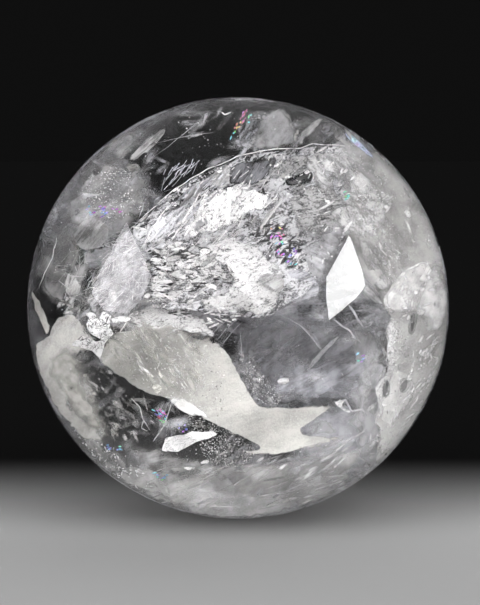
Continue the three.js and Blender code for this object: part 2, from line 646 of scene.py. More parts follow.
# %% [markdown]
# ## The films
#
# In a very thin crack, light from its two walls adds up for some colours and cancels for others. Real
# thin-film colour changes with the angle, but the photograph shows it from one side, and a set colour is
# simple and safe. Each film has its own hue, as "warm", and noise lets it drift a little over the film.

# %% Film colour
def film_colour(tree, tone):
    """Hue = own + 0.75 + 0.5 noise, saturation = 1.15 - 0.5 pale, and value from 0.5 to 1 by the tone."""
    uv = node(tree, "ShaderNodeUVMap", uv_map="grain").outputs[0]
    own = maths(tree, "ADD", read(tree, "warm"), 0.75)
    colour = node(tree, "ShaderNodeCombineColor", mode="HSV")
    hue = maths(tree, "FRACT", maths(tree, "MULTIPLY_ADD", noise(tree, uv, 0.5, 2, 0.5), 0.5, own))
    feed(tree, colour.inputs[0], hue)
    feed(tree, colour.inputs[1], maths(tree, "MULTIPLY_ADD", read(tree, "pale"), -0.5, 1.15))
    feed(tree, colour.inputs[2], spread(tree, tone, 0.0, 1.0, 0.5, 1.0))
    return colour.outputs[0]

# %% [markdown]
# ## The finishes of the veils
#
# Every kind of flaw is the same pattern with its own numbers. A milky veil covers nearly all of its sheet
# and hardly varies. A haze covers half of it. A crackled fracture goes from black to white in short
# streaks with many cracks: these are painted reflections, of the dark room in one scale and of the lamp
# in the next.

# %% Finishes
milky = veil_material("milky veil", 0.34, 0.5, Length=4.0, Width=1.6, Large=0.6, Soft=0.4, Streaky=0.7,
    Fine=0.5, Cover=0.95, Softness=0.4, Least=0.6, Most=0.98, Tear=0.6, Creases=0.12, Cracks=0.05,
    Sparkle=0.5, Rim=0.12, relief=0.15)
haze = veil_material("soft haze", 0.33, 0.65, Length=7.0, Width=1.8, Large=0.9, Soft=0.7, Streaky=1.1,
    Fine=0.3, Cover=0.5, Softness=0.45, Least=0.0, Most=0.62, Tear=1.2, Creases=0.12, Sparkle=0.35,
    relief=0.2)
mist = veil_material("mist", 0.4, 0.55, Length=9.0, Width=3.0, Large=1.0, Soft=0.5, Streaky=0.7, Fine=0.35,
    Cover=0.7, Softness=0.5, Least=0.3, Most=0.95, Tear=2.5, Creases=0.08, Sparkle=0.35, relief=0.0)
smooth = veil_material("smooth haze", 0.33, 0.6, Length=12.0, Width=2.5, Large=0.9, Soft=0.6, Streaky=0.8,
    Fine=0.2, Cover=0.6, Softness=0.6, Least=0.1, Most=0.85, Tear=0.9, Sparkle=0.12)
cloud = veil_material("lacy cloud", 0.22, 0.62, Length=4.0, Width=1.6, Large=1.0, Soft=0.7, Streaky=1.3,
    Fine=0.4, Cover=0.65, Softness=0.4, Least=0.2, Most=0.9, Tear=0.8, Creases=0.45, Cracks=0.2,
    Sparkle=0.5)
# painted reflections: the crackle's black and white stand for the dark room and the lamp mirrored in the
# crack
crackle = veil_material("crackled fracture", 0.03, 0.78, Length=2.4, Width=1.0, Large=1.0, Soft=0.6,
    Streaky=2.6, Fine=0.9, Cover=0.72, Softness=0.25, Least=0.35, Most=1.0, Tear=0.4, Black_at=0.05,
    White_at=0.85, Creases=0.6, Cracks=0.4, Sparkle=0.7)
# painted highlight: a whiter copy of the crackle, for where the crack faces the light
bright = veil_material("bright crackle with painted highlight", 0.05, 0.76, Length=2.0, Width=0.9, Large=0.6, Soft=0.6,
    Streaky=2.4, Fine=1.1, Cover=0.85, Softness=0.2, Least=0.5, Most=1.0, Tear=0.5, Black_at=-0.15,
    White_at=0.5, Creases=0.7, Cracks=0.75, Sparkle=0.8)
facet = veil_material("smooth facet", 0.22, 0.68, Length=5.0, Width=0.8, Large=0.5, Soft=1.0, Streaky=1.0,
    Fine=0.3, Cover=0.8, Softness=0.4, Least=0.25, Most=0.9, Tear=0.3, Creases=0.3, Sparkle=0.3, Rim=0.7)
# painted glints: a nearly white finish, with black cracks
glints_and_cracks = veil_material("painted glints and cracks", 0.08, 0.85, Length=1.6, Width=0.8, Large=0.2, Streaky=1.4, Fine=0.5,
    Cover=1.0, Softness=0.08, Least=0.8, Most=1.0, Tear=0.15, Black_at=-0.4, White_at=0.1, Cracks=1.0)
rainbow = veil_material("rainbow film", 0.45, 1.0, colour=film_colour, Length=2.0, Width=0.8, Large=0.3,
    Streaky=1.2, Fine=0.5, Cover=0.75, Softness=0.3, Least=0.1, Most=1.0, Tear=0.8)
print("finishes:", len(bpy.data.materials))

# %% [markdown]
# ## The clear quartz
#
# The stone itself is see-through: plain transmission with the index of quartz, and a little absorption
# that greys what lies deep. Both are constant, so they are set on the shaders' own sockets. The ball
# replaces the plain part's node. It is a profile turned about the upright axis, with many more steps than
# the plain part has, because every facet would show in a polished lens. It has one skin and no inner wall.

# %% Clear quartz
SOAK_GREY, SOAK_DENSITY = 0.9, 45.0

quartz = bpy.data.materials.new("clear quartz")
quartz.use_nodes = True
polished = quartz.node_tree.nodes["Principled BSDF"]
polished.inputs["Base Color"].default_value = (1, 1, 1, 1)
polished.inputs["Transmission Weight"].default_value = 1
polished.inputs["Roughness"].default_value = 0
polished.inputs["IOR"].default_value = QUARTZ_IOR
soak = node(quartz.node_tree, "ShaderNodeVolumeAbsorption")
soak.inputs["Color"].default_value = (SOAK_GREY, SOAK_GREY, SOAK_GREY, 1)
soak.inputs["Density"].default_value = SOAK_DENSITY
feed(quartz.node_tree, quartz.node_tree.nodes["Material Output"].inputs["Volume"], soak.outputs[0])
kept_light = math.exp(-SOAK_DENSITY * (1 - SOAK_GREY) * 2 * RADIUS)
print("share of the light left after one diameter:", round(kept_light, 2))

# %% The ball
RINGS, STEPS_ROUND = 149, 240


def ball_mesh():
    """The ball: at each latitude a, a ring of radius R cos a at height c + R sin a; a flat and a pole."""
    flat_latitude = -math.acos(FLAT_RADIUS / RADIUS)
    latitude = np.linspace(flat_latitude, math.pi / 2, RINGS + 1)[:-1]
    turn = np.linspace(0, 2 * math.pi, STEPS_ROUND, endpoint=False)
    reach = RADIUS * np.cos(latitude)[:, None]
    height = CENTRE[2] + RADIUS * np.sin(latitude)
    height[0] = 0
    heights = np.tile(height[:, None], STEPS_ROUND)
    rings = np.stack([reach * np.cos(turn), reach * np.sin(turn), heights], -1)
    points = np.vstack([rings.reshape(-1, 3), [[0, 0, CENTRE[2] + RADIUS]]])
    here = np.arange(STEPS_ROUND)
    there = (here + 1) % STEPS_ROUND
    start = np.arange(RINGS - 1)[:, None] * STEPS_ROUND
    above = start + STEPS_ROUND
    sides = np.stack([start + here, start + there, above + there, above + here], -1).reshape(-1, 4)
    last = (RINGS - 1) * STEPS_ROUND
    cap = np.stack([last + here, last + there, np.full(STEPS_ROUND, len(points) - 1)], -1)
    mesh = bpy.data.meshes.new("clear_ball")
    mesh.from_pydata(points.tolist(), [], sides.tolist() + cap.tolist() + [here[::-1].tolist()])
    smooth = np.ones(len(mesh.polygons), bool)
    smooth[-1] = False
    mesh.polygons.foreach_set("use_smooth", smooth)
    mesh.materials.append(quartz)
    return mesh


ball = bpy.data.objects.new("clear_ball", ball_mesh())
bpy.context.scene.collection.objects.link(ball)
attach(ball, "root")
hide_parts("quartz_sphere")
print("clear_ball", len(ball.data.polygons), "faces")

# %% [markdown]
# ## Clear places
#
# A clear ball looks clear only if some of it is left alone. Wisps near the front keep out of three places:
# the dark window at the top, the dark pocket at the lower left, and a clear place at the left. The deep
# wisps and cracks keep out of the window. The two circles are the ball's own outline: wisps are scattered
# in the smaller one, and sheets through the whole ball fill the larger one. All outlines here are read off
# the photograph in its pixels, with only as many corners as they need.

# %% Clear places
DARK_WINDOW = [(158, 153), (179, 142), (217, 133), (232, 135), (234, 154), (205, 168), (186, 176),
    (170, 165)]
DARK_POCKET = [(84, 380), (97, 360), (130, 385), (150, 397), (155, 425), (130, 436), (100, 415)]
LEFT_CLEAR = [(34, 345), (22, 308), (28, 250), (46, 205), (70, 205), (84, 255), (92, 290), (60, 320)]


def circle(radius, corners):
    """A circle round the ball's middle, in pixels: (x + r cos a, y + r sin a) at even steps of a."""
    turns = np.linspace(0, 2 * math.pi, corners, endpoint=False)
    return [(OUTLINE_X + radius * math.cos(a), OUTLINE_Y + radius * math.sin(a)) for a in turns]


WHOLE, BALL = circle(203, 16), circle(212, 24)
print("corners of the circles:", len(WHOLE), len(BALL))

# %% [markdown]
# ## The main fracture
#
# The bright middle of the ball is one large crack, seen under its arched upper edge, the ridge. It mirrors
# light in thousands of small steps, so it goes from black to white within a millimetre. It could be a
# displaced surface with a mirror finish, but that needs millions of faces. A leaning wavy sheet with the
# crackled finish has those reflections painted into its colour instead, and nearer sheets of the same kind
# give it depth. The back half of the ball gets a smaller fracture of its own, which is a guess, for the
# views from behind.

# %% Outlines of the fracture
RIDGE = [(128, 232), (146, 214), (163, 199), (176, 188), (191, 179), (207, 169), (222, 164), (236, 157),
    (255, 152), (274, 149), (300, 148), (312, 144), (336, 145), (351, 147), (365, 155), (376, 161),
    (386, 167)]
MAIN = RIDGE + [(392, 190, 18), (388, 215, 22), (368, 240, 20), (345, 240, 14), (328, 265, 12),
    (318, 288, 10), (300, 301, 6), (284, 309, 4), (274, 317), (260, 320), (226, 315), (195, 311),
    (165, 316, 10), (148, 302, 14), (146, 262, 14), (133, 246, 12)]
TRIANGLE = [(226, 185), (231, 163), (255, 160), (282, 156), (273, 170), (258, 186), (238, 185)]
SHADOWS = [
    TRIANGLE,
    [(285, 181), (298, 176), (310, 171), (312, 179), (298, 185), (287, 184)],
    [(195, 226), (203, 219), (206, 223), (197, 230)],
    [(268, 220), (280, 218), (293, 222), (298, 232), (277, 234), (267, 230)],
    [(280, 252), (292, 248), (301, 255), (294, 262), (283, 260)],
    [(142, 254), (154, 249), (158, 260), (154, 275), (148, 268)],
    [(186, 246), (200, 244), (204, 250), (190, 254)],
]
BRIGHT_TOP = [(196, 208), (210, 188), (227, 186), (238, 183), (252, 187), (266, 190), (278, 190),
    (269, 203), (258, 213), (247, 218), (230, 228), (203, 238), (177, 238), (185, 223)]
BRIGHT_MIDDLE = [(205, 242), (218, 237), (237, 233), (253, 243), (267, 253), (278, 262), (287, 272),
    (285, 283), (280, 300), (275, 317), (260, 318), (243, 313), (233, 310), (223, 315), (203, 308),
    (195, 300), (210, 295), (227, 287), (234, 280), (225, 270), (213, 260), (205, 250)]
LEFT_STREAKS = [(141, 249, 8), (170, 243), (203, 247), (222, 262), (230, 275), (226, 290), (205, 300),
    (200, 312), (165, 318, 8), (148, 305), (146, 285, 8)]
BEHIND_LEFT_LAMP = [(127, 222), (105, 250), (88, 290), (84, 312), (105, 330), (150, 325), (160, 300),
    (152, 272), (146, 246), (138, 234)]
LACE = [(287, 267), (310, 270), (325, 283), (322, 293), (307, 305), (287, 309), (280, 300), (285, 283)]
print("corners of the main fracture's outline:", len(MAIN))

# %% The main fracture
add_piece("main_fracture", [
    # the broad face, from the ridge down to its ragged foot
    sheet(MAIN, 0.02, lean=(0.05, -0.3), wave=0.05, streak=30, grain=1.2, seed=3, pale=0.85, warm=-0.4,
        holes=SHADOWS[1:2], ragged=1),
    # level streaks at its left
    sheet(LEFT_STREAKS, -0.2, lean=(0.05, -0.1), streak=4, seed=31, fade=5, holes=SHADOWS[5:]),
    # a nearer face at its upper right
    sheet([(283, 183), (312, 176), (345, 190), (352, 215), (340, 236), (300, 240), (285, 215)], -0.1,
        streak=10, grain=0.9, seed=36, fade=12, pale=0.5, holes=SHADOWS[3:5]),
    # a small face under the ridge
    sheet([(260, 182), (278, 158), (300, 154), (312, 160), (312, 171), (287, 180)], 0.0, streak=35, seed=38,
        fade=4, pale=0.68),
    # a second fracture in the back half, hidden behind the first
    sheet([(150, 232), (185, 200), (240, 182), (300, 186), (338, 212), (322, 258), (282, 290), (212, 296),
        (166, 278)], 0.5, lean=(-0.2, 0.3), wave=0.06, streak=-20, grain=1.3, seed=181, fade=12, pale=1.1),
    # short black cracks among the streaks
    patches(LEFT_STREAKS, 60, (4, 15), (1, 3), streak=4, spread_turn=12, depth=(-0.4, -0.25), seed=34,
        pale=(0.02, 0.1), grain=0.8, fade=0.5),
    # painted shade: dark patches at the left and behind the coloured films
    patches([(140, 252), (160, 246), (205, 246), (206, 256), (186, 262), (164, 276), (146, 272)], 38,
        (5, 16), (1.5, 4.5), streak=8, spread_turn=15, depth=(-0.38, -0.3), seed=133, pale=(0.02, 0.15),
        grain=0.8, fade=0.5),
    patches([(257, 228), (275, 222), (296, 232), (303, 248), (296, 262), (280, 260), (268, 248),
        (256, 240)], 60, (5, 16), (1.5, 5), streak=35, spread_turn=30, depth=(-0.38, -0.32), seed=134,
        pale=(0.02, 0.15), grain=0.8, fade=0.5),
], crackle)

# %% [markdown]
# ## The brightest parts of the fracture
#
# Where the crack faces the light it is nearly white, with fine black cracks. That highlight is painted:
# these patches lie in front of the broad face, in a whiter copy of its finish, and their wide fades let
# them grow out of it.

# %% The bright crackle
add_piece("bright_crackle", [
    # painted highlight: the brightest patch, under the ridge
    sheet(BRIGHT_TOP, -0.15, lean=(0.05, -0.2), wave=0.05, streak=35, seed=4, fade=7, holes=[SHADOWS[2]]),
    # painted highlight: the bright patch in the middle
    sheet(BRIGHT_MIDDLE, -0.3, lean=(0.05, -0.1), wave=0.04, streak=20, seed=5, fade=6, pale=0.82),
    # the feathered upper left edge
    sheet([(138, 240), (153, 222), (165, 212), (180, 202), (200, 190), (197, 203), (182, 220), (172, 237),
        (142, 248)], -0.1, streak=48, grain=1.3, seed=39, fade=5, pale=0.85, warm=-0.5),
    # a white patch at the foot
    sheet([(175, 322), (203, 315), (211, 326), (217, 340), (193, 334), (177, 330)], -0.3, streak=-15,
        grain=0.8, seed=6, fade=4),
    # white streaks where the milky body begins
    sheet([(118, 322), (130, 306), (160, 298), (196, 308), (214, 322), (218, 342), (190, 336), (165, 340),
        (135, 336)], -0.22, streak=-10, grain=1.2, seed=40, fade=13, pale=0.95),
    # lace on the vein's border
    sheet([(386, 322), (395, 319), (399, 330), (396, 345), (398, 360), (392, 374), (385, 384), (386, 404),
        (380, 422), (374, 422), (380, 406), (377, 398), (376, 385), (387, 370), (386, 346)], -0.27,
        streak=70, grain=0.5, seed=310, fade=2.5, pale=0.85, step=1.6),
    # white scales among the level streaks
    patches(LEFT_STREAKS, 34, (8, 28), (2.5, 8), streak=6, spread_turn=22, depth=(-0.44, -0.4), seed=37,
        pale=(0.75, 1.0), grain=0.8, even=2, fade=0.5),
    # white scales at the foot
    patches([(200, 304), (236, 306), (240, 318), (226, 328), (206, 326)], 30, (5, 18), (1.5, 4), streak=-8,
        spread_turn=18, depth=(-0.38, -0.32), seed=135, pale=(0.8, 1.1), grain=0.8, fade=0.5),
    # bright scales all over
    patches(MAIN, 60, (6, 24), (2, 5), streak=35, spread_turn=25, depth=(-0.4, 0.0), seed=35,
        pale=(0.9, 1.1), grain=0.8, clear=SHADOWS, fade=0.5),
], bright)

# %% [markdown]
# ## Smooth facets and blades
#
# Some steps of the cracks are smooth. They show as feathers, blades and flakes with a light rim, which
# this finish gives them by its value "Rim". The outlines are slender, and hardly ragged.

# %% Feathers and blades of the fracture
feathers = [
    # a pale feather beside the triangle
    sheet([(203, 183), (217, 167), (233, 162), (228, 184), (220, 188)], 0.0, streak=55, seed=90, fade=2,
        ragged=0.6, pale=0.68),
    # painted shade: the dim triangle under the ridge
    sheet(TRIANGLE, 0.05, streak=58, seed=190, fade=4, grain=0.6, pale=0.33, warm=-1.4, ragged=0.8),
    sheet(TRIANGLE, 0.1, streak=58, seed=290, fade=2, grain=0.6, pale=0.1, ragged=0.8),
    # painted shade: a dim face in the hollow at its right
    sheet(SHADOWS[1], 0.05, streak=20, seed=291, fade=2.5, grain=0.5, pale=0.3, ragged=0.8),
    # the triangle's slanting lines
    patches(TRIANGLE, 14, (8, 24), (0.5, 1.2), streak=58, spread_turn=4, depth=(-0.02, 0.02), seed=191,
        pale=(0.5, 0.8), warm=-1.2),
    # long feathers up the left edge
    patches([(138, 238), (168, 206), (196, 184), (226, 170), (226, 186), (200, 212), (170, 244),
        (146, 250)], 34, (12, 44), (1.5, 5), streak=48, spread_turn=7, depth=(-0.25, 0.0), seed=192,
        pale=(0.9, 1.3), warm=-0.8),
    # the feathery end of the ridge
    patches([(138, 204), (158, 190), (172, 188), (162, 210), (142, 228), (130, 224)], 44, (5, 20),
        (0.6, 2.4), streak=40, spread_turn=25, depth=(0.0, 0.15), seed=185, pale=(0.6, 1.1), warm=-0.8),
    # two slanting blades
    sheet([(251, 234), (285, 190), (289, 193), (261, 233)], -0.25, streak=53, seed=91, fade=2, ragged=0.4,
        pale=0.8),
    sheet([(180, 202), (205, 176), (212, 172), (196, 205), (170, 240), (165, 236)], 0.0, streak=52, seed=92,
        fade=2, ragged=0.6, pale=0.95),
]
print("feathers and blades:", len(feathers), "sheets and groups")

# %% Smooth facets elsewhere
add_piece("smooth_facets", feathers + [
    # smooth patches in the crackle
    sheet([(258, 270), (284, 272), (287, 290), (274, 293), (261, 283)], -0.35, streak=30, seed=93, fade=4,
        pale=0.7),
    sheet([(128, 262), (140, 256), (150, 275), (146, 300), (134, 296)], -0.25, streak=75, seed=94, pale=0.8,
        warm=-0.6),
    # the lance-shaped flake at the upper left
    sheet([(169, 125), (164, 137), (152, 151), (137, 162), (128, 162), (129, 155), (143, 141), (156, 130)],
        0.1, streak=42, seed=27, fade=3.5, step=1.2, grain=0.6, ragged=0.7, pale=0.78),
    # a pale facet below it
    sheet([(125, 162), (139, 162), (141, 170), (134, 174), (126, 172)], 0.1, streak=20, seed=127, step=1.2,
        ragged=0.4, pale=0.75, warm=0.5),
    # the disc at the left
    sheet([(72, 238), (74, 226), (86, 216), (104, 218), (112, 232), (104, 248), (88, 252), (76, 248)], 0.0,
        streak=50, seed=128, pale=0.78, ragged=0.5),
    # a soft milky flake below the disc
    sheet([(65, 272), (72, 271), (82, 283), (82, 294), (74, 297), (63, 295)], -0.1, streak=70, seed=129,
        pale=0.95, ragged=0.4, soften=1),
    # a small white block
    sheet([(276, 378), (290, 376), (291, 384), (277, 386)], -0.1, streak=5, seed=130, fade=2.5, step=1.2,
        ragged=0.4, pale=1.2),
    # a white blade at the body's right end
    sheet([(332, 402), (344, 399), (347, 401), (341, 406), (353, 411), (349, 414), (338, 408)], -0.12,
        streak=25, seed=136, fade=1.5, step=1.2, ragged=0.4, grain=0.5, pale=1.25),
    # feathers at the lower right
    patches([(296, 474), (330, 452), (362, 428), (368, 438), (338, 466), (300, 484)], 18, (14, 44), (2, 6),
        streak=30, spread_turn=8, depth=(-0.25, -0.15), lean=0.1, seed=193, grain=0.5, pale=(0.8, 1.2)),
    # a speckled triangle at the right
    sheet([(359, 296), (366, 282), (382, 298), (386, 308)], -0.1, streak=-40, seed=131, step=1.2,
        ragged=0.3, pale=0.8),
    # a cream-coloured flake
    sheet([(150, 385), (158, 383), (164, 387), (157, 397)], -0.42, streak=20, seed=132, fade=1.5, step=1.2,
        ragged=0.3, pale=1.25, warm=2.5),
    # the lace at the right of the fracture
    sheet(LACE, -0.15, streak=20, seed=95, fade=5, pale=0.95, warm=-0.8, grain=0.8),
], facet)

# %% [markdown]
# ## The cloud and the mist at the right
#
# The fracture ends at the right in a lumpy cloud with small dark holes. From there a fine even mist goes
# on to the rim, with a speckled border. It is paler in some places than in others, so its "pale" is a list
# of values across the photograph. Its finish has soft features and no relief. The same finish makes the
# haze along the bottom, the dim zone under the fracture, and the soft borders beside them.

# %% The lacy cloud
add_piece("upper_right_cloud", [
    # the lumpy part
    sheet([(296, 152), (312, 146), (336, 146), (352, 150), (368, 160), (384, 185), (396, 225), (375, 245),
        (345, 240), (330, 225), (318, 195), (302, 172, 8)], -0.05, lean=(0, -0.3), wave=0.04, streak=-50,
        grain=0.9, seed=7, fade=14, pale=0.95, holes=[[(302, 172), (313, 170), (313, 182), (303, 184)],
        [(334, 184), (346, 182), (348, 194), (338, 195)]]),
    # its tail down to the vein
    sheet([(352, 230), (372, 236), (392, 262), (398, 290), (380, 300), (366, 280), (358, 262)], 0.0,
        streak=-55, grain=0.8, seed=97, fade=12, pale=0.95),
], cloud)

# %% The mist
RIGHT_MIST = [(322, 112, 50), (372, 135, 34), (410, 165, 18), (440, 205, 9), (458, 262, 6), (460, 320, 6),
    (450, 370, 6), (424, 420, 6), (380, 470, 6), (374, 466, 6), (377, 430, 6), (386, 380, 6),
    (392, 330, 10), (372, 305, 24), (352, 280, 24), (340, 240, 24), (330, 210, 40), (325, 165, 50)]
right_mist = [
    # the mist from the cloud to the rim
    sheet(RIGHT_MIST, 0.05, lean=(0.15, 0), wave=0.05, wave_px=170, streak=-60, grain=1.2, seed=8,
        pale=[(340, 1.3), (375, 1.0), (400, 0.93), (430, 1.0), (445, 1.04)], warm=0.3, ragged=1),
    # haze at the lower right
    sheet([(300, 400, 24), (345, 396, 24), (374, 405, 10), (374, 470, 10), (345, 486, 20), (300, 500, 24),
        (280, 470, 30)], 0.15, streak=30, seed=153, pale=0.9, warm=-0.8, ragged=3),
    # haze along the bottom
    sheet([(140, 470, 20), (200, 464, 20), (260, 470, 20), (320, 458, 20), (370, 470, 10), (320, 506, 8),
        (240, 524, 6), (170, 510, 6), (130, 488, 10)], 0.15, streak=18, seed=154, pale=[(140, 0.85),
        (250, 0.9), (285, 0.6), (370, 0.7)], ragged=3),
    # streaks in the mist
    patches(RIGHT_MIST, 50, (10, 44), (3, 10), streak=-62, spread_turn=14, depth=(-0.1, 0.0), lean=0.2,
        seed=157, pale=(0.8, 1.4), warm=0.2, even=2),
]
print("mist and haze:", len(right_mist), "sheets and groups")

# %% More places in the mist's finish
add_piece("upper_right_haze", right_mist + [
    # the smooth part of the cloud at the top, and a band beside it
    sheet([(262, 112), (276, 105), (288, 106), (294, 118), (300, 134), (303, 146), (280, 152), (256, 153),
        (246, 148), (252, 134)], 0.2, streak=50, grain=0.6, seed=171, fade=9, pale=0.72, warm=-0.3),
    sheet([(296, 142), (303, 129), (315, 118), (328, 117), (320, 127), (309, 137), (302, 147)], 0.15,
        streak=45, grain=0.5, seed=172, fade=3.5, pale=0.85, step=1.6),
    # mottles at the left, above the left band
    patches([(56, 300), (75, 292), (100, 300), (102, 312), (84, 316), (60, 318)], 26, (6, 20), (3, 8),
        streak=30, spread_turn=40, depth=(-0.2, 0.0), seed=173, grain=0.5, pale=(0.6, 1.2)),
    # a dimmer place at the cloud's upper edge
    sheet([(350, 148), (370, 156), (390, 182), (380, 192), (362, 180), (350, 164)], -0.25, streak=-50,
        grain=0.7, seed=174, fade=9, pale=0.6, ragged=3),
    # the clear zone under the fracture
    sheet([(231, 325, 14), (262, 312, 20), (300, 308, 20), (340, 312, 20), (380, 325, 10), (384, 350, 10),
        (376, 385, 10), (372, 420, 14), (340, 404, 14), (300, 407, 10), (262, 409, 6), (245, 385, 8),
        (234, 355, 8)], 0.3, lean=(0.1, 0.1), streak=25, grain=0.8, seed=168, warm=-0.9, pale=0.5),
    # the soft end of the left band
    sheet([(48, 352, 10), (70, 345, 10), (90, 358, 20), (98, 385, 26), (102, 405, 26), (114, 428, 18),
        (98, 442, 10), (74, 420, 10), (54, 388, 10)], -0.45, streak=-50, grain=0.6, seed=177, pale=0.7,
        warm=0.8, ragged=3),
    # the dark triangle in the body's right end, and the dark strip below it
    sheet([(322, 416), (332, 424), (342, 434), (318, 436), (299, 434), (308, 425)], -0.1, streak=40,
        grain=0.5, seed=175, pale=0.5, warm=-0.5),
    sheet([(256, 457), (285, 456), (318, 448), (334, 447), (312, 460), (282, 466), (260, 464)], -0.2,
        streak=15, grain=0.5, seed=176, fade=5, pale=0.5, warm=-0.4, ragged=3),
    # the border between the clear zone and the vein
    sheet([(356, 366), (386, 360, 4), (390, 386, 4), (387, 404, 4), (387, 430, 4), (388, 464, 4),
        (366, 480), (352, 440)], 0.05, streak=80, grain=0.5, seed=170, fade=10, pale=0.75, warm=-0.4,
        ragged=3),
    # the haze left of the vein
    sheet([(346, 325, 16), (372, 318, 16), (386, 335, 8), (386, 360, 8), (376, 388, 8), (374, 425, 10),
        (352, 440, 16), (338, 404, 18), (344, 360, 20)], 0.1, streak=70, grain=0.7, seed=169, warm=-0.3,
        pale=0.8, ragged=4),
], mist)

# %% [markdown]
# ## The milky body
#
# The large cream shape is a healed crack so full of tiny bubbles that it is nearly solid white. It is one
# sheet with a sharp edge along the dark pocket and wide fades at its upper end. Its right is smooth and
# its left is streaked, which thin patches close in front of it bring.

# %% The milky body
BODY_LEFT = [(108, 340), (135, 326), (170, 330), (196, 342), (206, 362), (196, 388), (172, 390), (140, 378),
    (114, 358)]
BODY = [(100, 346, 6), (108, 326, 22), (135, 308, 34), (170, 310, 34), (205, 324, 26), (222, 344, 6),
    (229, 350), (234, 363), (248, 387), (256, 402), (263, 407), (295, 405, 4), (322, 403, 6),
    (336, 404, 6), (331, 411, 6), (321, 416, 2.5), (308, 425, 2.5), (299, 433, 2.5), (318, 435, 4),
    (341, 435, 8), (352, 434, 16), (348, 442, 18), (320, 449, 10), (300, 451, 4), (278, 455), (238, 455),
    (236, 454), (238, 453), (257, 448), (259, 447), (257, 446),
    (240, 437), (225, 431), (202, 418), (186, 407), (162, 397), (147, 395), (130, 385), (112, 371),
    (97, 360)]
add_piece("milky_body", [
    # the body
    sheet(BODY, -0.15, lean=(0.05, 0.1), wave=0.04, wave_px=90, streak=15, seed=10, pale=[(100, 0.72),
        (150, 0.78), (190, 0.94), (236, 1.08), (270, 1.15), (300, 1.0)], warm=0.8, ragged=0.8),
    # the bright patch at its lower edge
    sheet([(165, 395), (186, 397), (205, 408), (214, 424), (196, 420), (178, 411)], -0.32, streak=-30,
        seed=161, fade=5, pale=1.5, warm=0.2, ragged=1.8),
    # brown mottles in its smooth part
    patches([(214, 378), (224, 380), (223, 418), (214, 416)], 22, (1.5, 4), (1, 2.5), streak=80,
        depth=(-0.32, -0.28), seed=162, pale=(0.75, 0.95), warm=2.0),
], milky)

# %% The left band
add_piece("left_milky_band", [
    # the band
    sheet([(32, 349), (39, 342), (47, 335), (53, 322), (61, 315), (70, 314), (79, 316), (88, 325, 10),
        (100, 350), (88, 356, 12), (79, 362, 22), (74, 385, 18), (77, 402, 14), (92, 415, 14),
        (106, 428, 14), (112, 440, 14), (95, 448, 8), (68, 427), (45, 390)], -0.25, lean=(-0.3, 0),
        wave=0.04, streak=60, seed=11, pale=1.05, warm=0.6),
    # the claw at the rim above it
    sheet([(29, 288), (34, 291), (41, 302), (47, 315), (52, 328), (46, 338), (39, 322), (32, 304)], -0.2,
        streak=70, seed=41, pale=0.92, warm=0.8, ragged=0.5, step=1.5),
], milky)

# %% [markdown]
# ## The right vein
#
# The vein at the right is the same kind of veil, and bends round with the ball's edge. Slits are cut in it
# and in its bright branch, and a dim sheet lies in each. Its paler upper lobe, its scales and its streaks
# lie just in front of it, in the mist's finish. The lace on its border is among the bright crackle.

# %% Outlines of the vein
VEIN = [(424, 261), (406, 269), (392, 285), (383, 299), (384, 308), (391, 319), (386, 325), (385, 335),
    (387, 346), (388, 370), (376, 385), (377, 398), (380, 406), (372, 422), (380, 427), (377, 451),
    (374, 470), (396, 462, 8), (430, 410, 8), (456, 350, 8), (460, 308, 8), (452, 280, 6), (438, 263, 6)]
VEIN_SLITS = [
    [(399, 386), (407, 377), (409, 384), (402, 395)],
    [(412, 312), (416, 312), (415, 326), (412, 333), (409, 332), (411, 322)],
    [(381, 384), (387, 380), (389, 395), (383, 399)],
]
LOBE = [(383, 300), (391, 286), (401, 273), (412, 265), (425, 260), (432, 265, 8), (440, 281, 20),
    (438, 305, 24), (424, 320, 20), (404, 318, 12), (390, 312, 4)]
LOBE_RIM = [(382, 301), (390, 285), (401, 272), (412, 264), (426, 259), (433, 266), (434, 282, 7),
    (426, 288, 7), (417, 281, 6), (409, 288, 6), (404, 299, 6), (398, 309, 6), (387, 310)]
BRANCH = [(386, 325), (396, 318), (404, 326), (410, 345), (424, 352, 6), (438, 330, 6), (440, 345, 6),
    (424, 368, 6), (410, 378), (420, 390, 6), (408, 408, 6), (396, 420, 6), (390, 450, 6), (378, 464),
    (377, 451), (380, 427), (372, 422), (380, 406), (377, 398), (376, 385), (388, 370), (387, 346)]
print("slits in the vein:", len(VEIN_SLITS))

# %% The right vein
add_piece("right_vein", [
    # the vein down to the bottom
    sheet(VEIN, -0.2, lean=(0.3, 0), wave_px=70, streak=55, grain=1.2, seed=12, pale=[(380, 1.05),
        (400, 0.96), (430, 0.82)], warm=0.3, ragged=1, holes=VEIN_SLITS),
    # its bright branch
    sheet(BRANCH, -0.21, lean=(0.3, 0), wave_px=70, streak=65, grain=0.6, seed=63, fade=8, pale=1.2,
        warm=0.2, ragged=1.2, holes=VEIN_SLITS),
], milky)

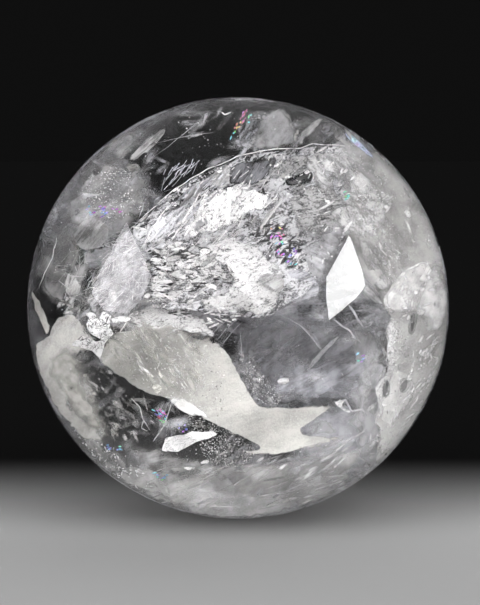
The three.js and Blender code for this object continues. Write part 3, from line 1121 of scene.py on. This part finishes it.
# %% The borders of the vein
add_piece("vein_borders", [
    # the paler upper lobe and its rim
    sheet(LOBE, -0.23, lean=(0.3, 0), wave_px=70, streak=60, grain=0.5, seed=62, fade=4, pale=1.25,
        warm=0.1, ragged=1),
    sheet(LOBE_RIM, -0.25, lean=(0.3, 0), streak=50, grain=0.4, seed=262, fade=2, pale=1.5, warm=0.1,
        ragged=0.8, step=1.6),
    # the pale part at its right
    sheet([(429, 262, 8), (440, 262, 8), (450, 285, 8), (452, 310, 8), (446, 335, 14), (430, 335, 14),
        (412, 312, 14), (418, 290, 14)], -0.24, lean=(0.3, 0), streak=75, grain=0.5, seed=264, pale=1.3),
    # mottles in the lobe
    patches(LOBE, 34, (6, 16), (3, 8), streak=50, spread_turn=40, depth=(-0.3, -0.26), lean=0.1, seed=164,
        grain=0.5, pale=(1.0, 1.45)),
    # scales and small streaks along the branch
    patches(BRANCH, 50, (4, 13), (1.5, 4), streak=65, spread_turn=20, depth=(-0.25, -0.22), lean=0.1,
        seed=165, pale=(1.1, 1.6), clear=VEIN_SLITS),
    patches(BRANCH, 160, (1.5, 7), (0.8, 2.4), streak=65, spread_turn=50, depth=(-0.3, -0.26), lean=0.1,
        seed=167, grain=0.5, pale=(0.3, 1.7), clear=VEIN_SLITS),
    # a dim sheet in each slit
    *[sheet(slit, -0.31, streak=70, seed=270 + number, fade=1.5, step=1.2, ragged=0.5, pale=0.3)
        for number, slit in enumerate(VEIN_SLITS)],
    # ragged bright patches at its outer side
    patches([(420, 330), (438, 322), (442, 350), (430, 385), (414, 410), (404, 400), (418, 368)], 30,
        (6, 24), (1.5, 5), streak=52, spread_turn=15, depth=(-0.25, -0.2), lean=0.1, seed=163, grain=0.5,
        pale=(1.2, 1.9)),
    # slanting streaks in the smooth part
    patches([(395, 400), (420, 380), (440, 340), (430, 390), (395, 445), (380, 455)], 22, (8, 34), (1, 3.5),
        streak=48, spread_turn=8, depth=(-0.25, -0.22), lean=0.1, seed=166, pale=(0.9, 1.5)),
], mist)

# %% [markdown]
# ## The bottom layers
#
# Near the floor lie several see-through layers that rise gently to the right, with long streaks in them.

# %% The bottom layers
add_piece("bottom_layers", [
    # the main layer
    sheet([(150, 478, 14), (200, 470, 12), (255, 462, 10), (300, 458, 8), (345, 440, 20), (372, 446, 20),
        (362, 474, 26), (330, 494, 14), (290, 508), (238, 516), (180, 509), (150, 495)], 0.1,
        lean=(0.0, 0.2), wave=0.05, streak=22, grain=2.2, seed=13, fade=8, pale=[(150, 1.0), (245, 1.4),
        (285, 0.9), (350, 0.95)], warm=0.3),
    # three layers in front of it
    sheet([(236, 470), (270, 462), (310, 452), (345, 436), (352, 446), (318, 466), (280, 480), (245, 484)],
        -0.1, streak=26, grain=1.8, seed=113, fade=14, pale=1.15),
    sheet([(240, 500), (290, 484), (330, 470), (350, 462), (340, 480), (300, 498), (262, 508)], -0.1,
        streak=24, grain=1.8, seed=114, fade=14, pale=1.1),
    sheet([(160, 490), (200, 482), (240, 488), (230, 500), (190, 504)], -0.1, streak=8, grain=1.8, seed=115,
        fade=14, pale=1.15),
    # the streaky layer at the lower left
    sheet([(66, 424, 8), (95, 432, 12), (125, 456, 12), (160, 466, 8), (180, 500, 6), (150, 500),
        (110, 478), (80, 445)], 0.0, wave=0.05, streak=-40, seed=14, fade=8, pale=0.82, warm=0.2),
    # long streaks
    patches([(120, 474), (250, 455), (378, 435), (390, 465), (300, 512), (170, 508)], 120, (16, 80),
        (1.5, 6), streak=20, spread_turn=8, depth=(-0.3, 0.3), seed=42, pale=(0.6, 1.45), even=2),
], smooth)

# %% [markdown]
# ## Smaller clouds
#
# The same two finishes, the lacy one and the smooth one, make the clouds at the top, the veils behind the
# left reflection, and the dim veils that keep the clear places from being empty.

# %% Lacy clouds
add_piece("top_clouds", [
    # the white cloud at the top
    sheet([(262, 108), (276, 103), (290, 108), (296, 125), (304, 138), (296, 150), (268, 151), (250, 149),
        (246, 140), (252, 128)], 0.25, streak=50, seed=15, fade=10, pale=1.1, grain=0.7),
    # blue-grey streaks beside it
    sheet([(236, 118), (250, 112), (262, 120), (258, 138), (246, 148), (234, 148)], 0.2, streak=65,
        seed=117, fade=6, pale=0.5, warm=-1.2),
    # the band at its right
    sheet([(292, 132), (300, 122), (318, 117), (326, 121), (318, 128), (304, 132), (300, 146), (290, 144)],
        0.2, streak=20, seed=16, fade=6, pale=0.9, warm=0.4),
    # the start of the milky body
    sheet([(84, 316), (96, 302), (130, 296), (155, 300), (168, 320), (165, 338), (118, 338)], -0.1,
        streak=10, seed=17, fade=9, pale=1.2),
    # pale streaks over the milky body
    patches(BODY_LEFT, 36, (10, 42), (1.5, 5), streak=-46, spread_turn=12, depth=(-0.36, -0.31), lean=0.1,
        seed=261, grain=0.7, pale=(1.0, 1.6), warm=(0.0, 1.2), even=1.6),
    # the veils behind the left reflection
    sheet(BEHIND_LEFT_LAMP, -0.15, streak=50, seed=18, fade=8, pale=1.15, warm=-0.3, grain=0.6),
    sheet([(116, 250), (106, 285), (104, 306), (118, 308), (128, 285), (126, 262)], -0.2, streak=50,
        seed=96, fade=8, pale=1.3, warm=0.1, grain=0.6),
    # streaks in them
    patches(BEHIND_LEFT_LAMP, 90, (6, 30), (0.7, 2.4), streak=40, spread_turn=24, depth=(-0.3, -0.2),
        seed=156, pale=(0.8, 1.9), warm=0.2),
], cloud)

# %% Smooth clouds
add_piece("smooth_clouds", [
    # dim streaks over the milky body
    patches(BODY_LEFT, 30, (18, 60), (5, 14), streak=-44, spread_turn=14, depth=(-0.38, -0.32), lean=0.1,
        seed=263, grain=0.7, pale=(0.5, 0.85), warm=(0.8, 2.0)),
    # the soft right end of the fracture
    sheet([(300, 196, 26), (330, 190, 26), (352, 215, 20), (352, 240, 14), (340, 256, 14), (326, 280, 14),
        (322, 304, 14), (306, 306, 20), (292, 280, 26), (292, 230, 26)], -0.1, streak=-30, grain=0.6,
        seed=152, warm=-0.4),
    # two brighter places in the right mist
    patches([(370, 208), (386, 190), (398, 196), (394, 212), (380, 218)], 12, (8, 22), (4, 9), streak=40,
        spread_turn=20, depth=(-0.3, -0.2), seed=158, pale=(1.1, 1.4)),
    patches([(376, 236), (386, 228), (402, 254), (400, 280), (386, 272)], 20, (5, 20), (1.2, 4), streak=-60,
        spread_turn=18, depth=(-0.3, -0.2), seed=159, pale=(1.2, 1.6)),
    # behind the fracture
    sheet([(300, 185), (350, 190), (395, 200), (410, 255), (395, 300), (380, 325), (345, 305), (310, 290),
        (290, 280), (285, 240)], 0.15, lean=(0.1, 0.1), wave=0.05, streak=-50, seed=65, fade=24, pale=0.8),
    # in the clear place at the left
    sheet([(38, 240), (62, 214), (84, 246), (94, 288), (72, 320), (46, 304), (32, 268)], 0.2, streak=62,
        seed=120, fade=12, pale=0.55),
    # behind the disc
    sheet([(80, 178), (100, 158), (130, 160), (158, 182), (152, 212), (130, 232), (108, 250), (84, 245),
        (72, 215)], 0.2, streak=35, seed=118, fade=14, ragged=6),
    sheet([(60, 285), (78, 255), (96, 262), (90, 300), (84, 322), (66, 318)], 0.15, streak=70, seed=119,
        fade=12, pale=0.8),
    # in the clear zone
    sheet([(262, 372), (300, 358), (340, 350), (375, 352), (378, 385), (360, 404), (300, 405), (266, 404)],
        0.1, streak=28, seed=116, fade=16, warm=-1),
    sheet([(231, 330), (270, 315), (330, 310), (385, 325), (388, 380), (375, 410), (300, 408), (262, 404),
        (245, 380)], 0.25, lean=(0.1, 0.2), wave=0.06, streak=35, seed=66, fade=24, pale=0.72, warm=-0.8),
    # the upper left
    sheet([(58, 245), (58, 202), (84, 150), (118, 122), (150, 118), (140, 150), (125, 180), (140, 205),
        (128, 230), (100, 240), (76, 256)], 0.3, wave=0.05, streak=30, seed=67, fade=20, pale=0.95),
    # above the bottom layers
    sheet([(110, 435), (150, 440), (200, 460), (260, 455), (300, 458), (250, 480), (180, 480), (130, 468)],
        0.1, wave=0.05, streak=20, seed=69, fade=14, pale=1.15),
    # along the top rim
    sheet([(45, 260), (55, 205), (90, 150), (140, 115), (190, 100), (238, 97), (290, 102), (340, 125),
        (336, 132), (290, 112), (238, 110), (190, 115), (150, 132), (110, 165), (75, 215), (60, 265)], 0.4,
        streak=30, seed=70, fade=12, pale=0.35, warm=-1),
], smooth)

# %% [markdown]
# ## Hazes and wisps
#
# What lies deep in the ball can't be told from one photograph. Three large faint cracks in its back half
# and a few hundred wisps are a fair guess, and they give the ball its depth in the other views. Sheets
# through the whole ball are cut by its surface and by the plane through its middle. The rest of the piece
# is soft patches, where a veil in front ends without a clear edge.

# %% Deep hazes
deep_hazes = [
    # below the clear zone
    sheet([(290, 385), (310, 378), (345, 380), (375, 390), (372, 405), (330, 404), (290, 406), (262, 402),
        (262, 385)], 0.2, wave=0.05, streak=20, seed=20, fade=14, warm=-0.6),
    # three large healed cracks in the back half
    sheet(BALL, 0.0, lean=(0.9, 0.3), wave=0.1, streak=40, seed=71, warm=-0.6, grain=1.5, step=5, fade=6,
        pale=1.3, cross=True, holes=[DARK_WINDOW], keep=back_half),
    sheet(BALL, 0.3, lean=(-0.7, 0.6), wave=0.1, streak=-30, seed=72, warm=-0.6, grain=1.5, step=5, fade=6,
        pale=1.3, cross=True, holes=[DARK_WINDOW], keep=back_half),
    sheet(BALL, 0.3, lean=(0.1, -0.8), wave=0.1, streak=10, seed=73, warm=-0.6, grain=1.8, step=5, fade=6,
        pale=1.3, cross=True, holes=[DARK_WINDOW, LEFT_CLEAR], keep=back_half),
    # wisps deep in the ball
    patches(WHOLE, 170, (20, 70), (8, 26), streak=25, spread_turn=30, depth=(0.2, 0.7), seed=43, warm=-0.6,
        pale=(0.8, 1.3), clear=[DARK_WINDOW, MAIN]),
]
print("deep hazes:", len(deep_hazes), "sheets and groups")

# %% Wisps and soft ends
add_piece("soft_hazes", deep_hazes + [
    # wisps in the dark pocket
    patches([(88, 375), (100, 365), (150, 398), (160, 425), (135, 445), (100, 425)], 30, (12, 40), (3, 10),
        streak=-35, spread_turn=30, depth=(-0.1, 0.3), seed=144, warm=0.2, pale=(0.9, 1.5)),
    # mottles where the left band ends
    patches([(70, 366), (84, 370), (98, 400), (112, 432), (98, 442), (80, 416)], 50, (6, 22), (3, 9),
        streak=-50, spread_turn=30, depth=(-0.42, -0.36), seed=149, grain=0.6, warm=(0.6, 1.6),
        pale=(0.5, 1.0)),
    # deeper mottles there
    patches([(74, 368), (90, 364), (104, 384), (124, 410), (122, 436), (100, 436), (78, 404)], 60, (5, 20),
        (3, 9), streak=-50, spread_turn=30, depth=(-0.25, -0.1), seed=145, grain=0.6, warm=(0.4, 1.4),
        pale=(0.8, 1.4)),
    # below the milky body's lower edge
    patches([(138, 398), (165, 402), (190, 412), (216, 430), (252, 450), (236, 462), (206, 452), (180, 430),
        (145, 424)], 44, (8, 26), (3, 9), streak=-25, spread_turn=30, depth=(-0.1, 0.1), seed=147,
        grain=0.7, warm=0.2, pale=(0.8, 1.3)),
    # along the border left of the vein
    patches([(366, 345), (386, 345), (387, 368), (376, 386), (374, 428), (374, 462), (360, 464),
        (362, 400)], 44, (8, 30), (3, 9), streak=80, spread_turn=20, depth=(-0.1, 0.1), seed=148, grain=0.7,
        pale=(0.9, 1.4)),
    # along the milky body's right edge
    patches([(238, 352), (250, 354), (268, 382), (296, 400), (268, 404), (250, 386)], 40, (8, 26), (4, 10),
        streak=-55, spread_turn=25, depth=(-0.1, 0.1), seed=146, grain=0.7, pale=(0.9, 1.4)),
    # wisps nearer the front
    patches(WHOLE, 90, (20, 70), (6, 20), streak=25, spread_turn=30, depth=(-0.6, 0.1), seed=143, warm=-0.6,
        pale=(0.8, 1.2), clear=[DARK_WINDOW, DARK_POCKET, LEFT_CLEAR, MAIN, BODY, RIGHT_MIST]),
], haze)

# %% [markdown]
# ## Mirror flakes and specks
#
# Tiny open cracks that face the light flash pure white. Here that flash is a painted glint, a nearly
# white colour. The large ones are drawn one by one, with sharp corners. The specks are scattered by the
# hundred, with two triangles each, since each covers a pixel. Where their "pale" is low they are fine
# black cracks.

# %% Mirror flakes
def specks(outline, count, length, width, spread_turn=90, even=2, **others):
    """Patches of two triangles each with hard edges, turned every way unless told otherwise."""
    return patches(outline, count, length, width, spread_turn=spread_turn, even=even, side=2, fade=0,
                   **others)


painted_glint_flakes = [
    # the long sharp flake at the bottom
    sheet([(161, 452), (165, 438), (174, 435), (183, 434), (192, 431), (204, 432), (213, 430), (217, 434),
        (210, 439), (198, 442), (188, 447), (178, 452)], -0.35, streak=15, seed=22, fade=1, step=1.0,
        ragged=0.3, soften=0),
    # painted glints: the mirror flakes at the left
    sheet([(86, 325), (90, 316), (99, 318), (103, 311), (112, 316), (110, 326), (114, 334), (106, 343),
        (97, 338), (90, 334)], -0.4, streak=15, seed=23, fade=1, pale=1.1, step=1.2, grain=1.6, soften=0,
        ragged=0.35),
    sheet([(84, 313), (92, 312), (97, 314), (95, 320), (89, 319)], -0.4, streak=15, seed=24, fade=1,
        step=1.2, soften=0, ragged=0.35),
    sheet([(69, 345), (83, 335), (96, 341), (108, 338), (104, 348), (100, 360), (92, 351), (83, 349)], -0.4,
        streak=15, seed=25, fade=1, step=1.2, grain=1.6, soften=0, ragged=0.35),
    sheet([(110, 318), (120, 314), (135, 318), (128, 322), (112, 324)], -0.4, streak=5, seed=28, fade=2,
        step=1.2, soften=0, ragged=0.35),
    # black cracks in the mirror flakes
    specks([(76, 342), (86, 328), (88, 314), (104, 312), (114, 318), (114, 334), (104, 350), (92, 350)],
        110, (1.5, 6), (0.4, 1.2), streak=50, spread_turn=60, depth=(-0.47, -0.43), lean=0.1, seed=184,
        pale=(0.05, 0.35)),
    # painted reflection: the bright bar in the fracture
    sheet([(227, 187), (232, 187), (230, 224), (226, 224)], -0.45, streak=90, seed=26, fade=0.8, step=0.9,
        ragged=0, soften=0, pale=1.3),
    # flakes behind the milky body
    patches([(120, 335), (200, 335), (225, 380), (205, 400), (140, 388)], 16, (8, 26), (3, 9), streak=20,
        spread_turn=40, depth=(0.4, 0.6), seed=182, pale=(0.8, 1.1), fade=0, grain=1.6),
    # small flakes at the bottom
    sheet([(198, 462), (206, 459), (213, 463), (204, 466)], -0.2, seed=44, fade=2, step=1.2, ragged=0.5),
    sheet([(180, 468), (190, 465), (198, 468), (188, 471)], -0.2, seed=45, fade=2, step=1.2, ragged=0.5),
]
print("mirror flakes:", len(painted_glint_flakes), "sheets and groups")

# %% Specks and scratches
add_piece("painted_glints_and_specks", painted_glint_flakes + [
    # specks at the upper left
    specks([(87, 171), (120, 165), (135, 175), (135, 219), (100, 219), (85, 200)], 300, (0.6, 2.6),
        (0.5, 1.3), depth=(-0.2, 0.1), seed=46, pale=(0.5, 1.1)),
    # scratches at the left, and over the veils behind the left reflection
    patches([(72, 246), (104, 250), (102, 290), (88, 302), (62, 300), (56, 262)], 80, (3, 18), (0.3, 0.6),
        streak=60, spread_turn=60, depth=(-0.25, 0.0), seed=80, pale=(0.3, 0.8), fade=0, side=4),
    patches([(108, 232), (127, 224), (150, 280), (150, 300), (104, 306), (92, 292)], 120, (3, 22),
        (0.3, 0.7), streak=30, spread_turn=30, depth=(-0.36, -0.32), seed=81, pale=(0.4, 1.0), fade=0,
        side=4),
    # specks on the milky body
    specks([(110, 335), (200, 335), (225, 360), (228, 410), (200, 412), (130, 385)], 300, (0.6, 2.2),
        (0.4, 1.1), depth=(-0.3, -0.25), seed=262, pale=(0.3, 1.0)),
    # specks on the vein's border
    specks([(386, 320), (400, 322), (404, 345), (396, 372), (384, 382), (382, 404), (376, 385), (388, 360)],
        260, (0.6, 2.2), (0.4, 1.1), streak=65, spread_turn=60, depth=(-0.36, -0.3), seed=79,
        pale=(0.5, 1.1)),
    # specks on the vein and the mist
    specks([(350, 160), (390, 165), (430, 230), (446, 300), (430, 380), (392, 455), (380, 450), (388, 330),
        (380, 280), (366, 210)], 420, (0.5, 1.8), (0.4, 1.0), depth=(-0.36, -0.3), seed=78,
        pale=(0.4, 1.0)),
    # specks everywhere
    specks(WHOLE, 900, (0.5, 2.0), (0.4, 1.0), depth=(-0.6, 0.6), seed=47, pale=(0.4, 1.0), even=3),
    # bright scales in the fracture
    patches(MAIN, 260, (1.5, 6), (0.7, 2), streak=30, spread_turn=40, depth=(-0.4, 0.0), seed=48,
        pale=(0.8, 1.1), fade=0, side=3, even=2),
    # long scratches in it
    patches([(140, 242), (165, 212), (200, 186), (262, 166), (290, 190), (250, 240), (190, 245)], 50,
        (8, 34), (0.5, 1.1), streak=48, spread_turn=7, depth=(-0.4, 0.0), seed=74, pale=(0.6, 1.1), fade=0,
        side=4),
    # sparks at the lower left rim
    patches([(68, 426), (80, 420), (125, 465), (160, 470), (150, 495), (110, 475)], 160, (0.8, 4),
        (0.5, 1.4), streak=-40, spread_turn=40, depth=(-0.2, 0.2), seed=49, pale=(0.5, 1.0), fade=0,
        side=3),
    # the bundle of needles beside the ridge
    patches([(156, 184), (165, 170), (178, 163), (196, 162), (199, 169), (184, 177), (168, 190)], 38,
        (4, 14), (0.4, 0.8), streak=52, spread_turn=11, depth=(-0.05, 0.1), seed=75, pale=(0.45, 1.0),
        warm=-1.2, fade=0, side=4, even=1.3),
    # short streaks on the milky body
    patches([(106, 322), (150, 326), (212, 340), (222, 372), (196, 398), (160, 392), (120, 366)], 200,
        (0.8, 9), (0.3, 0.8), streak=-48, spread_turn=35, depth=(-0.36, -0.32), seed=76, pale=(0.3, 0.9),
        fade=0, side=3, even=4),
    # the speckled border of the mist
    specks([(350, 150), (362, 152), (380, 200), (400, 250), (404, 285), (392, 290), (372, 235), (356, 190)],
        260, (0.6, 2.4), (0.4, 1.1), streak=-60, spread_turn=60, depth=(-0.3, -0.1), seed=77,
        pale=(0.5, 1.0)),
    # dots below the milky body
    specks([(178, 404), (205, 420), (252, 443), (260, 456), (236, 470), (204, 462), (196, 430)], 620,
        (0.5, 1.3), (0.5, 1.0), depth=(-0.3, 0.1), seed=50, pale=(0.5, 1.0), even=1.5),
    # dots along its upper right edge
    specks([(236, 350), (246, 352), (262, 380), (290, 402), (262, 406), (248, 390)], 200, (0.5, 1.6),
        (0.4, 1.0), depth=(-0.3, 0.0), seed=51, pale=(0.5, 1.0)),
], glints_and_cracks)

# %% [markdown]
# ## Threads
#
# Cracks seen from their edge are thin bright lines. The longest is the ridge itself.

# %% Threads
add_piece("fine_threads", [
    threads([
        (RIDGE, (0.0, 0.12, 0.2, 0.18, 0.15), 1.1),
        ([(221, 112), (225, 115), (231, 112)], (0.2, 0.2), 1.4),
        ([(57, 237), (52, 258), (44, 274), (39, 289)], (-0.1, -0.2), 0.6),
        ([(131, 398), (140, 407), (143, 419), (149, 430)], (-0.3, -0.2), 0.8),
        ([(145, 418), (141, 428), (148, 431)], (-0.3, -0.2), 0.8),
        ([(171, 404), (165, 424), (153, 442)], (-0.3, -0.2), 0.9),
        ([(168, 205), (150, 232), (143, 248)], (-0.1, -0.15), 1.4),
        ([(201, 192), (185, 218), (172, 240)], (-0.1, -0.15), 1.8),
    ], seed=51),
    threads([
        ([(348, 304), (356, 316), (363, 327)], (0.0, -0.1), 2.4),
        ([(333, 319), (348, 330), (361, 343)], (0.0, -0.1), 1.8),
        ([(281, 315), (300, 325), (312, 338), (322, 351)], (0.0, -0.1), 0.8),
        ([(338, 337), (328, 346), (319, 356), (308, 370)], (0.0, 0.1), 4.5),
        ([(333, 402), (346, 400), (351, 411), (363, 409), (367, 416)], (-0.1, -0.1), 2.0),
        ([(300, 325), (316, 337), (322, 351)], (0.0, -0.1), 0.5),
        ([(237, 320), (227, 328), (217, 340)], (-0.1, -0.15), 0.8),
        ([(243, 321), (232, 332), (222, 345)], (-0.1, -0.15), 0.6),
        ([(230, 318), (219, 326), (210, 338)], (-0.1, -0.15), 0.6),
        ([(240, 330), (241, 345), (242, 360)], (-0.1, -0.15), 0.7),
        ([(198, 122), (180, 137), (158, 154)], (0.2, 0.1), 0.5),
        ([(156, 143), (188, 136), (215, 132)], (0.2, 0.1), 0.4),
    ], seed=52, pale=0.5, warm=-0.5),
], glints_and_cracks)

# %% [markdown]
# ## Rainbow films
#
# The colours sit in small slivers, not in large spots. Each group has an outline, a number, a direction,
# a depth and a range of hues: 0.45 is teal, 0.6 blue, 0.72 violet, 0.87 magenta and 1.05 orange.

# %% Films
FILMS = [
    ([(247, 106), (252, 109), (246, 121), (239, 129), (236, 125), (241, 114)], 9, 64, 0.15, (0.84, 0.95)),
    ([(239, 118), (243, 122), (235, 135), (231, 133)], 6, 60, 0.15, (1.0, 1.12)),
    ([(251, 109), (255, 115), (249, 126), (246, 120)], 4, 64, 0.15, (0.42, 0.52)),
    ([(233, 128), (237, 132), (231, 139), (228, 136)], 3, 60, 0.15, (0.35, 0.5)),
    ([(266, 226), (286, 228), (292, 236), (276, 238)], 8, -15, -0.4, (0.8, 1.1)),
    ([(268, 234), (286, 238), (299, 250), (298, 266), (284, 264), (276, 250)], 22, 45, -0.4, (0.45, 0.9)),
    ([(341, 190), (350, 190), (350, 199), (342, 200)], 6, 20, -0.35, (0.36, 0.5)),
    ([(157, 405), (168, 412), (166, 424), (158, 422), (152, 410)], 12, -25, -0.35, (0.45, 0.95)),
    ([(177, 424), (187, 423), (187, 431), (179, 432)], 6, 30, -0.25, (0.62, 0.75)),
    ([(106, 441), (120, 443), (121, 453), (108, 452)], 10, 10, -0.2, (0.5, 0.65)),
    ([(150, 469), (168, 470), (168, 482), (154, 482)], 10, 10, -0.2, (0.4, 0.7)),
    ([(86, 203), (102, 205), (124, 209), (118, 216), (88, 218)], 22, 20, -0.1, (0.55, 0.9)),
    ([(355, 352), (369, 354), (368, 360), (356, 364)], 5, 30, -0.1, (0.4, 0.9)),
    ([(157, 407), (165, 409), (166, 415), (158, 413)], 5, -40, -0.35, (0.85, 0.93)),
    ([(160, 419), (168, 419), (168, 423), (161, 423)], 3, 0, -0.35, (0.36, 0.42)),
]
add_piece("rainbow_films", [
    patches(outline, count, (4, 9), (1.6, 3.2), streak=turn, spread_turn=12, depth=(depth, depth + 0.03),
        side=5, seed=200 + number, grain=0.8, pale=(0.8, 1.0), warm=hues, fade=0.8)
    for number, (outline, count, turn, depth, hues) in enumerate(FILMS)
] + [sheet([(343, 130, 2), (352, 133, 3), (364, 143, 4), (376, 158, 2), (371, 159, 2), (357, 149, 4),
    (346, 139, 3)], -0.05, streak=-45, seed=84, step=1.3, ragged=0.4, warm=0.62, pale=1.7)], rainbow)

# %% [markdown]
# ## The floor
#
# The floor is pale paper with a painted pool of light. In the photograph the ball is seen against black, and
# its clear places are dark because of that. So the paper's colour falls off to dark just behind the ball,
# a painted shade like that of a sweep lit only in front, and slowly far out to all sides. The painted
# fall-off is worked out from the floor's own place.

# %% Floor
# painted light: the paper's grey is PALE in a pool in front of and near the ball, DIM behind it and far out
PALE, DIM = 0.065, 0.0009
PALE_UP_TO, DARK_FROM = -0.03, 0.075
PALE_WITHIN, DARK_BEYOND = 0.1, 1.2
FLOOR_HALF = 2.0
PAPER_ROUGHNESS = 0.8

floor_mesh = bpy.data.meshes.new("floor")
floor_corners = [(x * FLOOR_HALF, y * FLOOR_HALF, 0) for x, y in ((-1, -1), (1, -1), (1, 1), (-1, 1))]
floor_mesh.from_pydata(floor_corners, [], [(0, 1, 2, 3)])
paper = bpy.data.materials.new("pale paper with painted light pool")
paper.use_nodes = True
tree = paper.node_tree
matt = tree.nodes["Principled BSDF"]
matt.inputs["Roughness"].default_value = PAPER_ROUGHNESS
matt.inputs["Specular IOR Level"].default_value = 0.0
place = node(tree, "ShaderNodeTexCoord").outputs["Object"]
axes = node(tree, "ShaderNodeSeparateXYZ")
feed(tree, axes.inputs[0], place)
away = node(tree, "ShaderNodeVectorMath", operation="LENGTH")
feed(tree, away.inputs[0], place)
# painted light pool: full in front and near, fading to painted shade behind and far out
painted_light_in_front = spread(tree, axes.outputs[1], PALE_UP_TO, DARK_FROM, 1.0, 0.0)
painted_light_near = spread(tree, away.outputs["Value"], PALE_WITHIN, DARK_BEYOND, 1.0, 0.0)
level = maths(tree, "MULTIPLY_ADD", maths(tree, "MULTIPLY", painted_light_in_front, painted_light_near), PALE - DIM, DIM)
grey = node(tree, "ShaderNodeCombineColor")
for channel in grey.inputs[:3]:
    feed(tree, channel, level)
feed(tree, matt.inputs["Base Color"], grey.outputs[0])
floor_mesh.materials.append(paper)
floor = bpy.data.objects.new("floor", floor_mesh)
bpy.context.scene.collection.objects.link(floor)
print("floor", 2 * FLOOR_HALF, "m across")

# %% [markdown]
# ## The lamps
#
# Two kites of light lie on the ball: the mirror images of two lamps. A lamp whose image has a given
# outline is found by sending the sight lines of the outline's corners off the ball as a mirror does, and
# putting the lamp's corners a set way along them. The lamps are seen in the polish only. What lights the
# veils is the soft light all round, because a lamp seen through the ball would hide what lies inside.

# %% Lamps
LAMP_DISTANCE = 0.45
RIGHT_REFLECTION = [(349, 235), (357, 256), (363, 274), (365, 286), (358, 296), (344, 308), (329, 320),
    (326, 300), (326, 277), (339, 254)]
LEFT_REFLECTION = [(127, 222), (110, 254), (92, 292), (103, 310), (128, 314), (141, 300), (152, 277),
    (141, 252)]


def lamp_panel(name, reflection, strength, colour=(1, 1, 1)):
    """A panel whose mirror image fills an outline: each corner is p + s r, with r = way - 2 (way . n) n."""
    px, py = np.array(reflection, float).T
    way, entry = sight(px, py)
    normal = entry / RADIUS
    mirrored = way - 2 * (way * normal).sum(-1, keepdims=True) * normal
    corners = CENTRE + entry + LAMP_DISTANCE * mirrored
    count = len(corners)
    mesh = bpy.data.meshes.new(name)
    fan = [(count, corner, (corner + 1) % count) for corner in range(count)]
    mesh.from_pydata([*corners.tolist(), corners.mean(0).tolist()], [], fan)
    shine = bpy.data.materials.new(name)
    shine.use_nodes = True
    shine.node_tree.nodes.clear()
    light = node(shine.node_tree, "ShaderNodeEmission")
    light.inputs["Color"].default_value = (*colour, 1)
    light.inputs["Strength"].default_value = strength
    end = node(shine.node_tree, "ShaderNodeOutputMaterial")
    feed(shine.node_tree, end.inputs["Surface"], light.outputs[0])
    shine.cycles.emission_sampling = "NONE"
    mesh.materials.append(shine)
    panel = bpy.data.objects.new(name, mesh)
    bpy.context.scene.collection.objects.link(panel)
    for way_of_seeing in ("visible_camera", "visible_transmission", "visible_diffuse"):
        setattr(panel, way_of_seeing, False)
    print(name, "middle", corners.mean(0).round(3), "across", np.ptp(corners, axis=0).round(3))


lamp_panel("right lamp", RIGHT_REFLECTION, strength=16)
lamp_panel("left lamp", LEFT_REFLECTION, strength=4.3, colour=(0.985, 0.95, 1.0))

# %% [markdown]
# ## The soft light all round
#
# A big soft light stands in front and above, and a weaker one behind, so that the veils glow from both
# sides. They are soft round patches of the sky. Seen straight or through the ball they are nearly dark:
# the sky counts in full only for light that a veil or the floor has scattered. That is what black cloth
# round the table does in the photograph, and it keeps the ball's rim crisp and its clear places deep.

# %% Sky
EVEN_LIGHT = 0.005
# each light: the way to it, its edge, its core, its strength, and the share of it for unscattered light
SKY_LIGHTS = {
    "front": ((0, -0.9, 0.43), 0.42, 0.9, 16.7, 0.015),
    "behind": ((0.3, 0.85, 0.45), 0.4, 0.95, 7.0, 0.0),
    "above": ((0, 0.35, 0.9), 0.6, 0.98, 0.15, 1.0),
}

world = bpy.data.worlds.new("world")
world.use_nodes = True
tree = world.node_tree
sky_way = node(tree, "ShaderNodeTexCoord").outputs["Generated"]
scattered = node(tree, "ShaderNodeLightPath").outputs["Diffuse Depth"]


def glow(towards, edge, core, strength, seen):
    """A soft round light, full where way . towards passes "core"; unscattered light gets "seen" of it."""
    facing = node(tree, "ShaderNodeVectorMath", operation="DOT_PRODUCT")
    feed(tree, facing.inputs[0], sky_way)
    feed(tree, facing.inputs[1], np.array(towards) / np.linalg.norm(towards))
    light = spread(tree, facing.outputs["Value"], edge, core, 0.0, strength)
    return maths(tree, "MULTIPLY", light, spread(tree, scattered, 0.0, 1.0, seen, 1.0))


total = EVEN_LIGHT
for settings in SKY_LIGHTS.values():
    total = maths(tree, "ADD", total, glow(*settings))
feed(tree, tree.nodes["Background"].inputs["Strength"], total)
tree.nodes["Background"].inputs["Color"].default_value = (1, 1, 1, 1)
world.cycles.sampling_method = "NONE"
bpy.context.scene.world = world
print("lights in the sky:", *SKY_LIGHTS)

# %% [markdown]
# ## How light is followed
#
# A sight line may pass dozens of see-through sheets, so more of them are allowed than usual. Three
# scatterings between the veils are enough. The plain view transform keeps the white veils white.

# %% Light paths
SHEETS_IN_A_ROW, SCATTERINGS = 48, 3

scene = bpy.context.scene
scene.cycles.transparent_max_bounces = SHEETS_IN_A_ROW
scene.cycles.diffuse_bounces = SCATTERINGS
scene.view_settings.view_transform = "Standard"
print("sheets that a sight line may pass:", SHEETS_IN_A_ROW, "scatterings:", SCATTERINGS)
